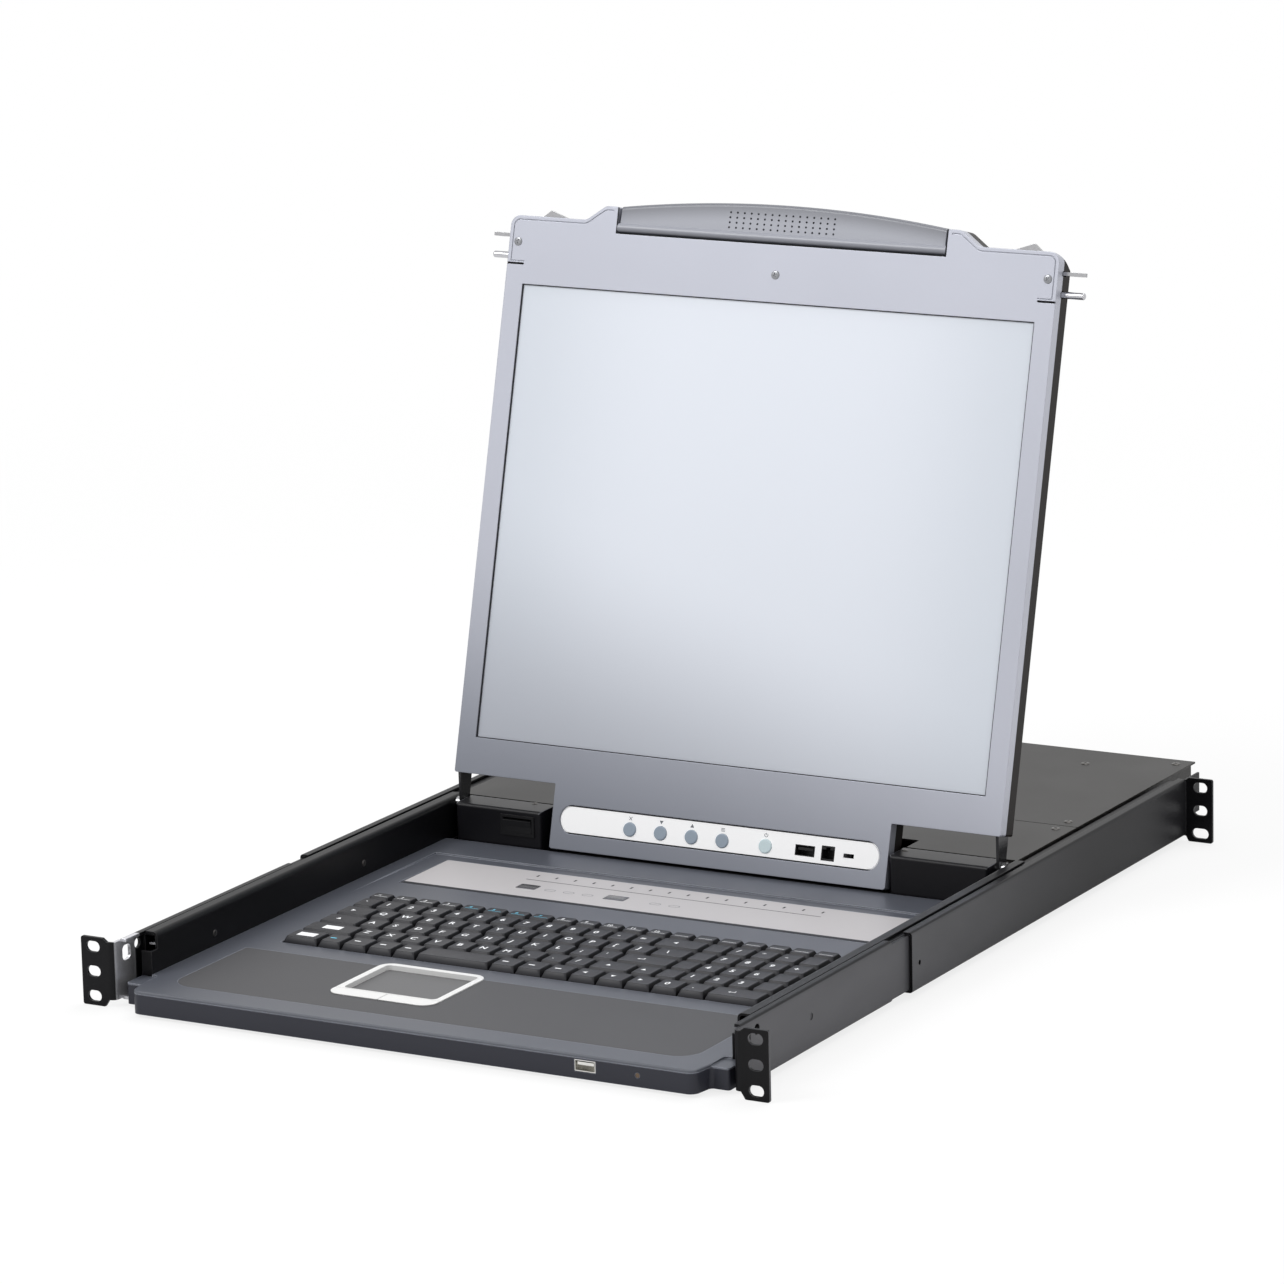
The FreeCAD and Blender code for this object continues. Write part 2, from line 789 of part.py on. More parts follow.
def hinge_block_left():
    return cut(mirror(hinge_block(block_inner_left)),
               rocker_window(rocker_wall, block_front - 1, block_front + block_sheet + 1))


def rocker_housing():
    bezel = rocker_window(rocker_rim, block_front - rocker_lip, block_front)
    body = rocker_window(rocker_wall, block_front, block_front + 13)
    hollow = rocker_window(0, block_front - 2, block_front + 11)
    pivot = rod("x", block_front + rocker_pivot, rocker_z, rocker_x - rocker_width / 2, rocker_x + rocker_width / 2, 1.1)
    return fuse(cut(fuse(bezel, body), hollow), pivot)


def power_rocker():
    half = rocker_width / 2 - 0.2
    tall = rocker_height / 2 - 0.8
    front = block_front - 1.6
    y = block_front + rocker_pivot
    cap = prism([(front, rocker_z - tall), (front + 0.7, rocker_z), (front, rocker_z + tall),
                 (y - 1, rocker_z + tall - 0.3), (y + 3.5, rocker_z + 1.9), (y + 3.5, rocker_z - 1.9),
                 (y - 1, rocker_z - tall + 0.3)], "yz", rocker_x - half, rocker_x + half)
    rocker = cut(cap, rod("x", y, rocker_z, rocker_x - half - 1, rocker_x + half + 1, 1.15))
    rocker.rotate(Vec(0, y, rocker_z), Vec(1, 0, 0), rocker_tilt)
    return rocker


def hinge_shafts():
    shoulder = shaft_radius + 1.7
    shaft = fuse(rod("x", hinge_y, hinge_z, block_outer - 8, side_outer, shaft_radius),
                 rod("x", hinge_y, hinge_z, block_outer, leaf_inner - leaf_play, shoulder),
                 rod("x", hinge_y, hinge_z, leaf_outer + leaf_play, side_inner, shoulder))
    return group([shaft, mirror(shaft)])


# ---- display: built upright about its hinge line, then leaned back ----
# In this frame Y = 0, Z = 0 is the hinge line, -Y faces the user and Z runs up the screen.

lid_face = -lid_front
lid_seam = lid_face + lid_bezel_depth
plate_back = lid_face + lid_sheet


def lid_outline(inset=0.0):
    """Outline of bezel and back cover, seen from the front, drawn in by inset."""
    right = [
        (0, lid_tongue_low + inset),
        (lid_tongue_half - inset, lid_tongue_low + inset, 2),
        (lid_tongue_half - inset, lid_low + inset, 1),
        (lid_half_low - inset, lid_low + inset, 1.5),
        (lid_half_high - inset, lid_shoulder - inset, 7 - inset),
        (post_foot, lid_shoulder - inset, 8),
        (post_head, lid_post - inset, 7),
        (handle_half + inset, lid_post - inset, 1),
        (handle_half + inset, handle_low - inset, 1),
        (0, handle_low - inset),
    ]
    return both_sides(right)


def top_slope(inset, low):
    """Wedges that bevel the display's back above its side faces, behind the given Y."""
    height = lid_shoulder - inset
    points = [(slope_front + inset, height), (lid_back, height - slope_drop), (lid_back + 1, height - slope_drop),
              (lid_back + 1, lid_shoulder + 1), (slope_front + inset, lid_shoulder + 1)]
    wedge = prism(points, "yz", post_foot + 4 - inset, lid_half_low + 1)
    return both(wedge.common(box(0, lid_half_low + 2, low, lid_back + 2, 0, lid_shoulder + 2)))


def lean_back(shape):
    """Turn a part from the upright frame to its place on the drawer."""
    placed = shape.copy()
    placed.rotate(Vec(0, 0, 0), Vec(1, 0, 0), -hinge_tilt)
    placed.translate(Vec(0, hinge_y, hinge_z))
    return placed


def screen_block(grow, low, high):
    return box(-screen_half - grow, screen_half + grow, low, high, screen_low - grow, screen_low + screen_height + grow)


def strip_block(grow, low, high):
    reach = strip_reach + grow
    radius = strip_radius + grow
    return prism(rounded(-reach, reach, strip_mid - radius, strip_mid + radius, radius - 0.01), "xz", low, high)


def both(solid):
    return [solid, mirror(solid)]


def catch_slots():
    """Openings in the display's top edge and sides for the two release catches."""
    half = catch_thick / 2 + catch_play
    tab = box(tab_inner - catch_travel - catch_play, tab_outer + catch_play, -half, half,
              wedge_up + half + 1, lid_shoulder + 1)
    bolt = box(lid_half_high - 4, lid_half_low + 2, latch_depth - bolt_half - catch_play,
               latch_depth + bolt_half + catch_play, wedge_up - half, wedge_up + half)
    pin = rod("x", latch_depth, pin_up, lid_half_high - 4, lid_half_low + 2, pin_radius + catch_play)
    return both(tab) + both(bolt) + both(pin)


def leaf_slots():
    gap = box(leaf_inner - leaf_play, leaf_outer + leaf_play, plate_back, lid_back - lid_sheet,
              lid_low - 1, lid_low + lid_sheet + 0.5)
    return both(gap)


def bezel_screw_places():
    side = lid_half_high - 6.8
    return [(0.0, lid_shoulder - 27.6), (-side, lid_shoulder - 17.6), (side, lid_shoulder - 17.6)]


def rim_line():
    """Fine groove inside the bezel's upper edge, and the slits in which it ends at the sides."""
    inner = rim_width + rim_groove
    ring = prism(lid_outline(rim_width), "xz", lid_face - 1, lid_face + rim_depth)
    ring = ring.cut(prism(lid_outline(inner), "xz", lid_face - 2, lid_face + 1))
    foot = seam_up + seam_width + 1
    ring = cut(ring, box(-lid_half_low, lid_half_low, lid_face - 2, lid_face + 1, lid_tongue_low - 1, foot),
               box(-handle_half - inner, handle_half + inner, lid_face - 2, lid_face + 1, foot, lid_post + 1))
    slit = prism([(seam_inner, seam_up, 0.49), (lid_half_low + 2, seam_up), (lid_half_low + 2, seam_up + seam_width),
                  (seam_inner, seam_up + seam_width, 0.49)], "xz", lid_face - 1, lid_face + seam_depth)
    end = lid_half_high - rim_width
    foot_line = box(seam_inner, end, lid_face - 1, lid_face + rim_depth, foot, foot + rim_groove)
    return [ring] + both(slit) + both(foot_line)


def lid_bezel():
    shell = prism(lid_outline(), "xz", lid_face, lid_seam)
    hollow = prism(lid_outline(lid_sheet), "xz", plate_back, lid_seam + 1)
    hollow = cut(hollow, *top_slope(lid_sheet, plate_back - 1))
    holes = [rod("y", x, z, lid_face - 1, plate_back + 1, screw_shank) for x, z in bezel_screw_places()]
    return cut(shell, *top_slope(0, slope_front), hollow, screen_block(0, lid_face - 1, lid_seam),
               strip_block(strip_groove, lid_face - 1, lid_seam), *rim_line(), *holes,
               *catch_slots(), *leaf_slots())


def lid_back_cover():
    shell = prism(lid_outline(), "xz", lid_seam, lid_back)
    hollow = prism(lid_outline(lid_sheet), "xz", lid_seam - 1, lid_back - lid_sheet)
    hollow = cut(hollow, *top_slope(lid_sheet, lid_seam - 2))
    vents = [prism(rounded(x - 1.5, x + 1.5, 60, 84, 1.4), "xz", lid_back - 3, lid_back + 1)
             for x in range(-90, 91, 12)]
    return cut(shell, *top_slope(0, slope_front), hollow, *vents, *catch_slots(), *leaf_slots())


def lid_panel():
    glass = screen_block(2.0, plate_back, plate_back + 1)
    return fuse(glass, screen_block(screen_margin, plate_back + 1, plate_back + screen_depth))


def handle_grip():
    """Grip with a round bead along its foot, a face that leans back above it and a crowned top."""
    low = handle_low + handle_play
    crease = low + bead_height
    reach = handle_half - handle_play
    back = lid_back - 0.3
    bead = prism([(lid_face - bead_proud, low, 3.2), (lid_face - bead_proud, crease, 3.2), (back, crease), (back, low)],
                 "yz", -reach, reach)
    end = reach - bead_step
    right_end = place("xz", end, handle_end, 0)
    left_end = place("xz", -end, handle_end, 0)
    top = Part.Arc(right_end, place("xz", 0, handle_end + handle_crown, 0), left_end).toShape()
    sides = [Part.makeLine(left_end, place("xz", -end, crease - 1, 0)),
             Part.makeLine(place("xz", -end, crease - 1, 0), place("xz", end, crease - 1, 0)),
             Part.makeLine(place("xz", end, crease - 1, 0), right_end)]
    crown = Part.Face(Part.Wire([top] + sides)).extrude(Vec(0, back - lid_face, 0))
    crown.translate(Vec(0, lid_face, 0))
    tall = handle_end + handle_crown + 2
    lean = prism([(lid_face + 1.2, crease - 1), (lid_face + 2.6, tall), (back, tall), (back, crease - 1)],
                 "yz", -reach, reach)
    face = crown.common(lean)
    rims = [edge for edge in face.Edges if edge.Length > reach and edge.CenterOfMass.z > handle_end]
    face = face.makeFillet(handle_round, rims)
    foot = box(-reach + 20, reach - 20, -5, 1, handle_low, low + 1)
    return fuse(bead, face, foot)


def control_strip():
    base = plate_back + 1.4
    strip = fuse(strip_block(0, lid_face + 0.4, plate_back), strip_block(strip_groove + 2, plate_back, base))
    holes = [rod("y", x, button_up, lid_face - 1, base + 1, button_radius + button_play) for x in button_xs.values()]
    usb = usb_opening(strip_usb_x, port_up, lid_face - 1, base + 1)
    jack = box(jack_x - jack_half, jack_x + jack_half, lid_face - 1, base + 1, port_up - jack_half, port_up + jack_half)
    switch = box(switch_x - 2.8, switch_x + 2.8 + switch_travel, lid_face - 1, base + 1,
                 port_up - switch_half - 0.2, port_up + switch_half + 0.2)
    return cut(strip, *holes, usb, jack, switch)


def lid_button(x):
    front = lid_face + 0.4 - button_proud
    back = plate_back + 1.4 + button_play
    cap = rod("y", x, button_up, front, back + 1, button_radius)
    rim = [edge for edge in cap.Edges if edge.BoundBox.YMax < front + 0.1]
    return fuse(cap.makeFillet(0.7, rim), rod("y", x, button_up, back, back + 1, button_radius + 1.2))


def lid_ports():
    usb = usb_socket(strip_usb_x, port_up, lid_face + 0.5, 12.0)
    x, z = jack_x, port_up
    jack = cut(box(x - jack_half, x + jack_half, lid_face + 0.5, lid_face + 12, z - jack_half, z + jack_half),
               box(x - 4.2, x + 4.2, lid_face, lid_face + 9, z - 3.6, z + 2.4),
               box(x - 1.6, x + 1.6, lid_face, lid_face + 9, z + 2, z + 3.9))
    return group([usb, jack])


def recovery_switch():
    base = plate_back + 1.4 + button_play
    knob = box(switch_x - 2.6, switch_x - 0.4, lid_face + 0.2, base + 1, port_up - switch_half, port_up + switch_half)
    return fuse(knob, box(switch_x - 4.4, switch_x + 1.4, base, base + 1, port_up - 2.4, port_up + 2.4))


def hinge_leaves():
    eye = shaft_radius + 2.2
    arm = prism([(plate_back, lid_low), (plate_back, lid_low + leaf_length, 4), (1, lid_low + leaf_length, 4),
                 (3.8, lid_low), (eye, 0), (-eye, -2)], "yz", leaf_inner, leaf_outer)
    leaf = fuse(arm, rod("x", 0, 0, leaf_inner, leaf_outer, eye))
    return group(both(cut(leaf, rod("x", 0, 0, leaf_inner - 1, leaf_outer + 1, shaft_radius + shaft_play))))


def release_catch():
    """Sliding bar with the finger tab above and the wedge bolt at its outer end."""
    half = catch_thick / 2
    arm_inner = lid_half_high - 7.5
    arm_outer = arm_inner + 4
    bar = box(tab_inner - 6, arm_outer, -half, half, pin_up + pin_radius + 3, wedge_up + bar_rise)
    tab = prism([(tab_inner, wedge_up), (tab_inner, lid_shoulder + 0.3), (tab_peak, lid_shoulder + tab_rise, 0.8),
                 (tab_outer, lid_shoulder + 0.3), (tab_outer, wedge_up)], "xz", -half, half)
    arm = box(arm_inner, arm_outer, latch_depth - bolt_half, half, pin_up - 4, wedge_up + half)
    bolt = prism([(arm_inner, latch_depth + bolt_half), (latch_tip - 5, latch_depth + bolt_half),
                  (latch_tip, latch_depth), (latch_tip, latch_depth - bolt_half), (arm_inner, latch_depth - bolt_half)],
                 "xy", wedge_up - half, wedge_up + half)
    return cut(fuse(bar, tab, bolt, arm), rod("x", latch_depth, pin_up, arm_inner - 1, arm_outer + 1, pin_radius))


def latch_pin():
    root = lid_half_high - 7.5
    pin = rod("x", latch_depth, pin_up, root - 1, latch_tip, pin_radius)
    nose = [edge for edge in pin.Edges if edge.BoundBox.XMin > latch_tip - 0.1]
    return fuse(pin.makeFillet(1.2, nose), rod("x", latch_depth, pin_up, root - 2, root, pin_radius + 1.0))


def bezel_screws():
    return group([pan_screw("y", x, z, lid_face, -1, 5.0) for x, z in bezel_screw_places()])


def pan_screw(axis, a, b, face, way, length):
    """Low round-headed screw whose head sits on a face and whose shank runs back from it."""
    head = sorted((face, face + way * screw_rise))
    shank = sorted((face, face - way * length))
    return fuse(rod(axis, a, b, head[0], head[1], screw_head), rod(axis, a, b, shank[0], shank[1], screw_shank))


# ---- rear case ----

cover_low = cover_top - cover_sheet


def cover_screw_places():
    ahead = cover_seam - 8.3
    behind = cover_seam + 11
    edge = case_half - 8.2
    places = [(edge, ahead), (edge, behind), (case_half - 6.2, case_back - 11), (case_half - 62.6, case_back - 35),
              (70.0, ahead), (70.0, behind)]
    return [(side * x, y) for side in (-1, 1) for x, y in places]


def cover_screw_holes():
    return [rod("z", x, y, cover_low - case_sheet - 1, cover_top + 1, screw_shank) for x, y in cover_screw_places()]


def rear_case():
    low = -unit_half
    floor = box(-case_half, case_half, case_front, case_back, low, low + case_sheet)
    walls = [box(x, x + case_sheet, case_front, case_back, low, cover_low) for x in (-case_half, case_half - case_sheet)]
    back = box(-case_half, case_half, case_back - case_sheet, case_back, low, cover_low)
    fold = box(-case_half, case_half, case_front, case_back, cover_low - case_sheet, cover_low)
    inner = case_half - case_flange
    for front, rear in ((case_front - 1, cover_seam - strap_half), (cover_seam + strap_half, case_back - back_flange)):
        fold = fold.cut(box(-inner, inner, front, rear, cover_low - 3, cover_low + 1))
    spacers = both(box(case_half, rail_outer - rail_sheet, spacer_front, spacer_front + spacer_length,
                       rail_mid - 10, rail_mid + 10))
    posts = [rod("z", x, y, low, board_low, 3.0) for x in (board_left + 7, board_right - 8)
             for y in (board_front + 10, board_front + 120, case_back - 20)]
    ports = [prism(d_shape(x, d_wide + 0.4, d_tall + 0.4), "xz", case_back - 3, case_back + 1) for x in port_places()]
    inlet = box(inlet_x - inlet_half, inlet_x + inlet_half, case_back - 3, case_back + 1,
                inlet_z - inlet_tall, inlet_z + inlet_tall)
    vents = [prism(rounded(x - 1.3, x + 1.3, y, y + 16, 1.2), "xy", low - 1, low + case_sheet + 1)
             for x in range(-120, 121, 16) for y in (560, 584)]
    side_vents = [prism(rounded(y, y + 14, -4, -1.4, 1.2), "yz", case_half - 3, case_half + 1)
                  for y in (440, 462, 520, 542)]
    case = fuse(floor, back, fold, *walls, *spacers, *posts)
    case = cut(case, *ports, inlet, *vents, *side_vents, *[mirror(vent) for vent in side_vents])
    return cut(case, *cover_screw_holes())


def port_places():
    return [port_first + i * port_pitch for i in range(port_count)]


def d_shape(x, wide, tall):
    """Outline of a D connector: wider along its top, with slanted ends."""
    top = port_z_rear + tall / 2
    low = port_z_rear - tall / 2
    half = wide / 2
    return [(x - half, top, 1.6), (x + half, top, 1.6), (x + half - 1.4, low, 1.6), (x - half + 1.4, low, 1.6)]


def rear_port(x):
    wall = case_back - case_sheet
    shell = prism(d_shape(x, d_wide, d_tall), "xz", wall, case_back + 5.5)
    body = box(x - 15, x + 15, wall - 8, wall, board_low + board_thick, port_z_rear + 6)
    nuts = [prism([(x + dx + 2.6 * math.cos(math.radians(60 * i)), port_z_rear + 2.6 * math.sin(math.radians(60 * i)))
                   for i in range(6)], "xz", case_back, case_back + 4) for dx in (-12.5, 12.5)]
    return [fuse(shell, body)] + nuts


def rear_ports():
    solids = []
    for x in port_places():
        solids += rear_port(x)
    return group(solids)


def power_inlet():
    x, z = inlet_x, inlet_z
    body = box(x - inlet_half, x + inlet_half, case_back - 20, case_back + 1.5, z - inlet_tall, z + inlet_tall)
    mouth = prism([(x - 11.5, z + 7.6), (x - 11.5, z - 4), (x - 8, z - 7.6), (x + 8, z - 7.6), (x + 11.5, z - 4),
                   (x + 11.5, z + 7.6)], "xz", case_back - 15, case_back + 3)
    blades = [box(x + dx - 1, x + dx + 1, case_back - 16, case_back - 1, z + dz - 2, z + dz + 2)
              for dx, dz in ((-7, -1), (0, 2.5), (7, -1))]
    flange = box(x - inlet_half - 2.5, x + inlet_half + 2.5, case_back, case_back + 1.5,
                 z - inlet_tall - 1.5, z + inlet_tall + 1.5)
    return fuse(cut(fuse(body, flange), mouth), *blades)


def main_board():
    return box(board_left, board_right, board_front, case_back - case_sheet, board_low, board_low + board_thick)


def power_supply():
    return box(board_right + supply_gap, case_half - supply_margin, cover_seam + supply_margin,
               case_back - supply_setback, -unit_half + case_sheet, supply_top)


def middle_cover():
    cover = box(-cover_half, cover_half, case_front, cover_seam, cover_low, cover_top)
    half = lid_tongue_half + notch_side
    reach = hinge_y + math.hypot(lid_front, lid_tongue_low) + notch_play
    return cut(cover, box(-half, half, case_front - 1, reach, cover_low - 1, cover_top + 1), *cover_screw_holes())


def rear_cover():
    cover = box(-cover_half, cover_half, cover_seam + seam_gap, case_back, cover_low, cover_top)
    return cut(cover, *cover_screw_holes())


def case_screws():
    return group([pan_screw("z", x, y, cover_top, 1, 5.0) for x, y in cover_screw_places()])


# ---- write every part ----

save_pair("front_bracket", front_bracket())
save_pair("side_rail", side_rail())
save_pair("ball_cage", ball_cage())
save_pair("drawer_side", drawer_side())
save_pair("rear_bracket", rear_bracket())
save("slide_runners", group(both(slide_runner())))
save("tray_pan", tray_pan())
save("keyboard_deck", keyboard_deck())
save("front_fascia", front_fascia())
save("palm_rest", palm_rest())
save("touchpad_frame", touchpad_frame())
save("touchpad_surface", touchpad_surface())
save("touchpad_button_right", touchpad_button_right())
save("touchpad_button_left", touchpad_button_left())
save("port_strip", port_strip())
save("front_usb_port", usb_socket(port_x, port_z, deck_front + 0.3, 14.0))
save("power_led", power_led())
save("keyboard_plate", keyboard_plate())
for row_name in key_rows:
    save(row_name, key_row(row_name))
save("hinge_block_right", hinge_block(block_inner_right))
save("hinge_block_left", hinge_block_left())
save("rocker_housing", rocker_housing())
save("power_rocker", power_rocker())
save("hinge_shafts", hinge_shafts())
save("lid_bezel", lean_back(lid_bezel()))
save("lid_back_cover", lean_back(lid_back_cover()))
save("lid_panel", lean_back(lid_panel()))
save("handle_grip", lean_back(handle_grip()))
save("control_strip", lean_back(control_strip()))
for button_name, button_x in button_xs.items():
    save(button_name + "_button", lean_back(lid_button(button_x)))
save("lid_ports", lean_back(lid_ports()))
save("recovery_switch", lean_back(recovery_switch()))
save("hinge_leaves", lean_back(hinge_leaves()))
save("release_catch_right", lean_back(release_catch()))
save("release_catch_left", lean_back(mirror(release_catch())))
save("latch_pin_right", lean_back(latch_pin()))
save("latch_pin_left", lean_back(mirror(latch_pin())))
save("bezel_screws", lean_back(bezel_screws()))
save("rear_case", rear_case())
save("rear_ports", rear_ports())
save("power_inlet", power_inlet())
save("main_board", main_board())
save("power_supply", power_supply())
save("middle_cover", middle_cover())
save("rear_cover", rear_cover())
save("case_screws", case_screws())
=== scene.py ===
import bpy
import bmesh
import math
from mathutils import Matrix, Vector


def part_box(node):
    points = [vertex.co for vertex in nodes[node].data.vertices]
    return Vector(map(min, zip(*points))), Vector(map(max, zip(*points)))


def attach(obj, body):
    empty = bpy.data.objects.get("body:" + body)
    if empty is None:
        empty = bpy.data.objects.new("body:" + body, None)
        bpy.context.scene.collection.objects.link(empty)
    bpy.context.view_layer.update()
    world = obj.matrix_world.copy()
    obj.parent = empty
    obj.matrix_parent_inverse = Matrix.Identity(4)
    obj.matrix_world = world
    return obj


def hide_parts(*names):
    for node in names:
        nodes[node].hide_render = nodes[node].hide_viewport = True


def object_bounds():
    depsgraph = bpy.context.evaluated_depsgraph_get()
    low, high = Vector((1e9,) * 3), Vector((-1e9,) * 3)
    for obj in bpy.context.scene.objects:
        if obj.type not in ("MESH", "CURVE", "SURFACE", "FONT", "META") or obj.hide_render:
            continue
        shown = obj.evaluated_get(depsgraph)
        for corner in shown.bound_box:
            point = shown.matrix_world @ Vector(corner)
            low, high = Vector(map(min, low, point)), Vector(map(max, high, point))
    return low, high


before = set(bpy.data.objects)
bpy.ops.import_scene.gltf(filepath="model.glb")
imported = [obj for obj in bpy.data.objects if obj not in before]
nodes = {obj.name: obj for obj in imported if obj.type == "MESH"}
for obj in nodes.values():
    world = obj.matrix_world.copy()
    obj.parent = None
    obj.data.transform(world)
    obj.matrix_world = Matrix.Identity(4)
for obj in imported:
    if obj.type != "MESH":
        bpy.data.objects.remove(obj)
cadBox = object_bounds()
mm = 0.001
print("frame loaded:", len(nodes), "nodes")

# camera: from the user's right, a little above the console

cameraPlace = {"at": (1.8771, -3.0348, 1.0719), "azimuth": 29.46, "elevation": 13.31, "roll": -1.34,
               "lens": 173.2, "sensor": 36, "near": 0.1, "far": 50}


def makeCamera(place):
    azimuth, elevation, roll = (math.radians(place[k]) for k in ("azimuth", "elevation", "roll"))
    back = Vector((math.sin(azimuth) * math.cos(elevation), -math.cos(azimuth) * math.cos(elevation),
                   math.sin(elevation)))
    right = Vector((math.cos(azimuth), math.sin(azimuth), 0))
    up = back.cross(right)
    rightRolled = math.cos(roll) * right + math.sin(roll) * up
    upRolled = math.cos(roll) * up - math.sin(roll) * right
    turn = Matrix((rightRolled, upRolled, back)).transposed().to_4x4()
    data = bpy.data.cameras.new("camera")
    data.lens = place["lens"]
    data.sensor_width = place["sensor"]
    data.clip_start = place["near"]
    data.clip_end = place["far"]
    camera = bpy.data.objects.new("camera", data)
    bpy.context.scene.collection.objects.link(camera)
    camera.matrix_world = Matrix.Translation(place["at"]) @ turn
    bpy.context.scene.camera = camera


makeCamera(cameraPlace)

# shader tools: a socket that can be used in plain arithmetic, and the nodes around it

bevelSamples = 4
edgeWearAndHighlightBend = (0.03, 0.22)  # how far the surface turns where the lighter edge begins and where it is full; the lighter edge is partly paint wear, partly a painted highlight


class Wire:
    def __init__(self, shader, socket):
        self.shader = shader
        self.socket = socket

    def math(self, operation, *values):
        return self.shader.add("Math", {"operation": operation}, values)

    def __add__(self, other):
        return self.math("ADD", self, other)

    def __sub__(self, other):
        return self.math("SUBTRACT", self, other)

    def __rsub__(self, other):
        return self.math("SUBTRACT", other, self)

    def __mul__(self, other):
        return self.math("MULTIPLY", self, other)

    __radd__ = __add__
    __rmul__ = __mul__

    def clamped(self):
        return self.shader.add("Clamp", {}, (self,))


class Shader:
    def __init__(self, name, world=False):
        self.owner = (bpy.data.worlds if world else bpy.data.materials).new(name)
        self.owner.use_nodes = True
        self.tree = self.owner.node_tree
        self.surface = self.tree.nodes["Background" if world else "Principled BSDF"]

    def add(self, kind, settings=None, values=(), output=0):
        node = self.tree.nodes.new("ShaderNode" + kind)
        for key, value in (settings or {}).items():
            setattr(node, key, value)
        pairs = values.items() if isinstance(values, dict) else enumerate(values)
        for key, value in pairs:
            self.feed(node.inputs[key], value)
        return Wire(self, node.outputs[output])

    def feed(self, socket, value):
        if isinstance(value, Wire):
            self.tree.links.new(value.socket, socket)
        elif socket.type == "RGBA" and len(value) == 3:
            socket.default_value = (*value, 1)
        else:
            socket.default_value = value

    def place(self):
        return self.add("TexCoord", output="Object")

    def axis(self, letter):
        return self.add("SeparateXYZ", {}, (self.place(),), letter)

    def noise(self, scale, detail=2.0, stretch=(1, 1, 1)):
        vector = self.add("VectorMath", {"operation": "MULTIPLY"}, (self.place(), stretch))
        return self.add("TexNoise", {}, {"Vector": vector, "Scale": scale, "Detail": detail})

    def rise(self, value, low, high):
        return self.add("MapRange", {"interpolation_type": "SMOOTHSTEP"},
                        {"Value": value, "From Min": low, "From Max": high})

    def blend(self, factor, first, second):
        return self.add("Mix", {"data_type": "RGBA"}, {0: factor, 6: first, 7: second}, 2)

    def tint(self, color, factor):
        return self.add("VectorMath", {"operation": "SCALE"}, {0: color, "Scale": factor})

    def bump(self, height, depth, edge=0.0):
        values = {"Strength": 1.0, "Distance": depth, "Height": height}
        if edge:
            values["Normal"] = self.add("Bevel", {"samples": bevelSamples}, {"Radius": edge})
        return self.add("Bump", {}, values)

    def edges(self, radius):
        soft = self.add("Bevel", {"samples": bevelSamples}, {"Radius": radius})
        plain = self.add("NewGeometry", output="True Normal")
        turned = self.add("VectorMath", {"operation": "DOT_PRODUCT"}, (soft, plain), "Value")
        return self.rise(1 - turned, *edgeWearAndHighlightBend)

    def fixed(self, **values):
        for name, value in values.items():
            self.surface.inputs[name.replace("_", " ")].default_value = value

    def fill(self, **values):
        for name, value in values.items():
            self.feed(self.surface.inputs[name.replace("_", " ")], value)
        return self.owner
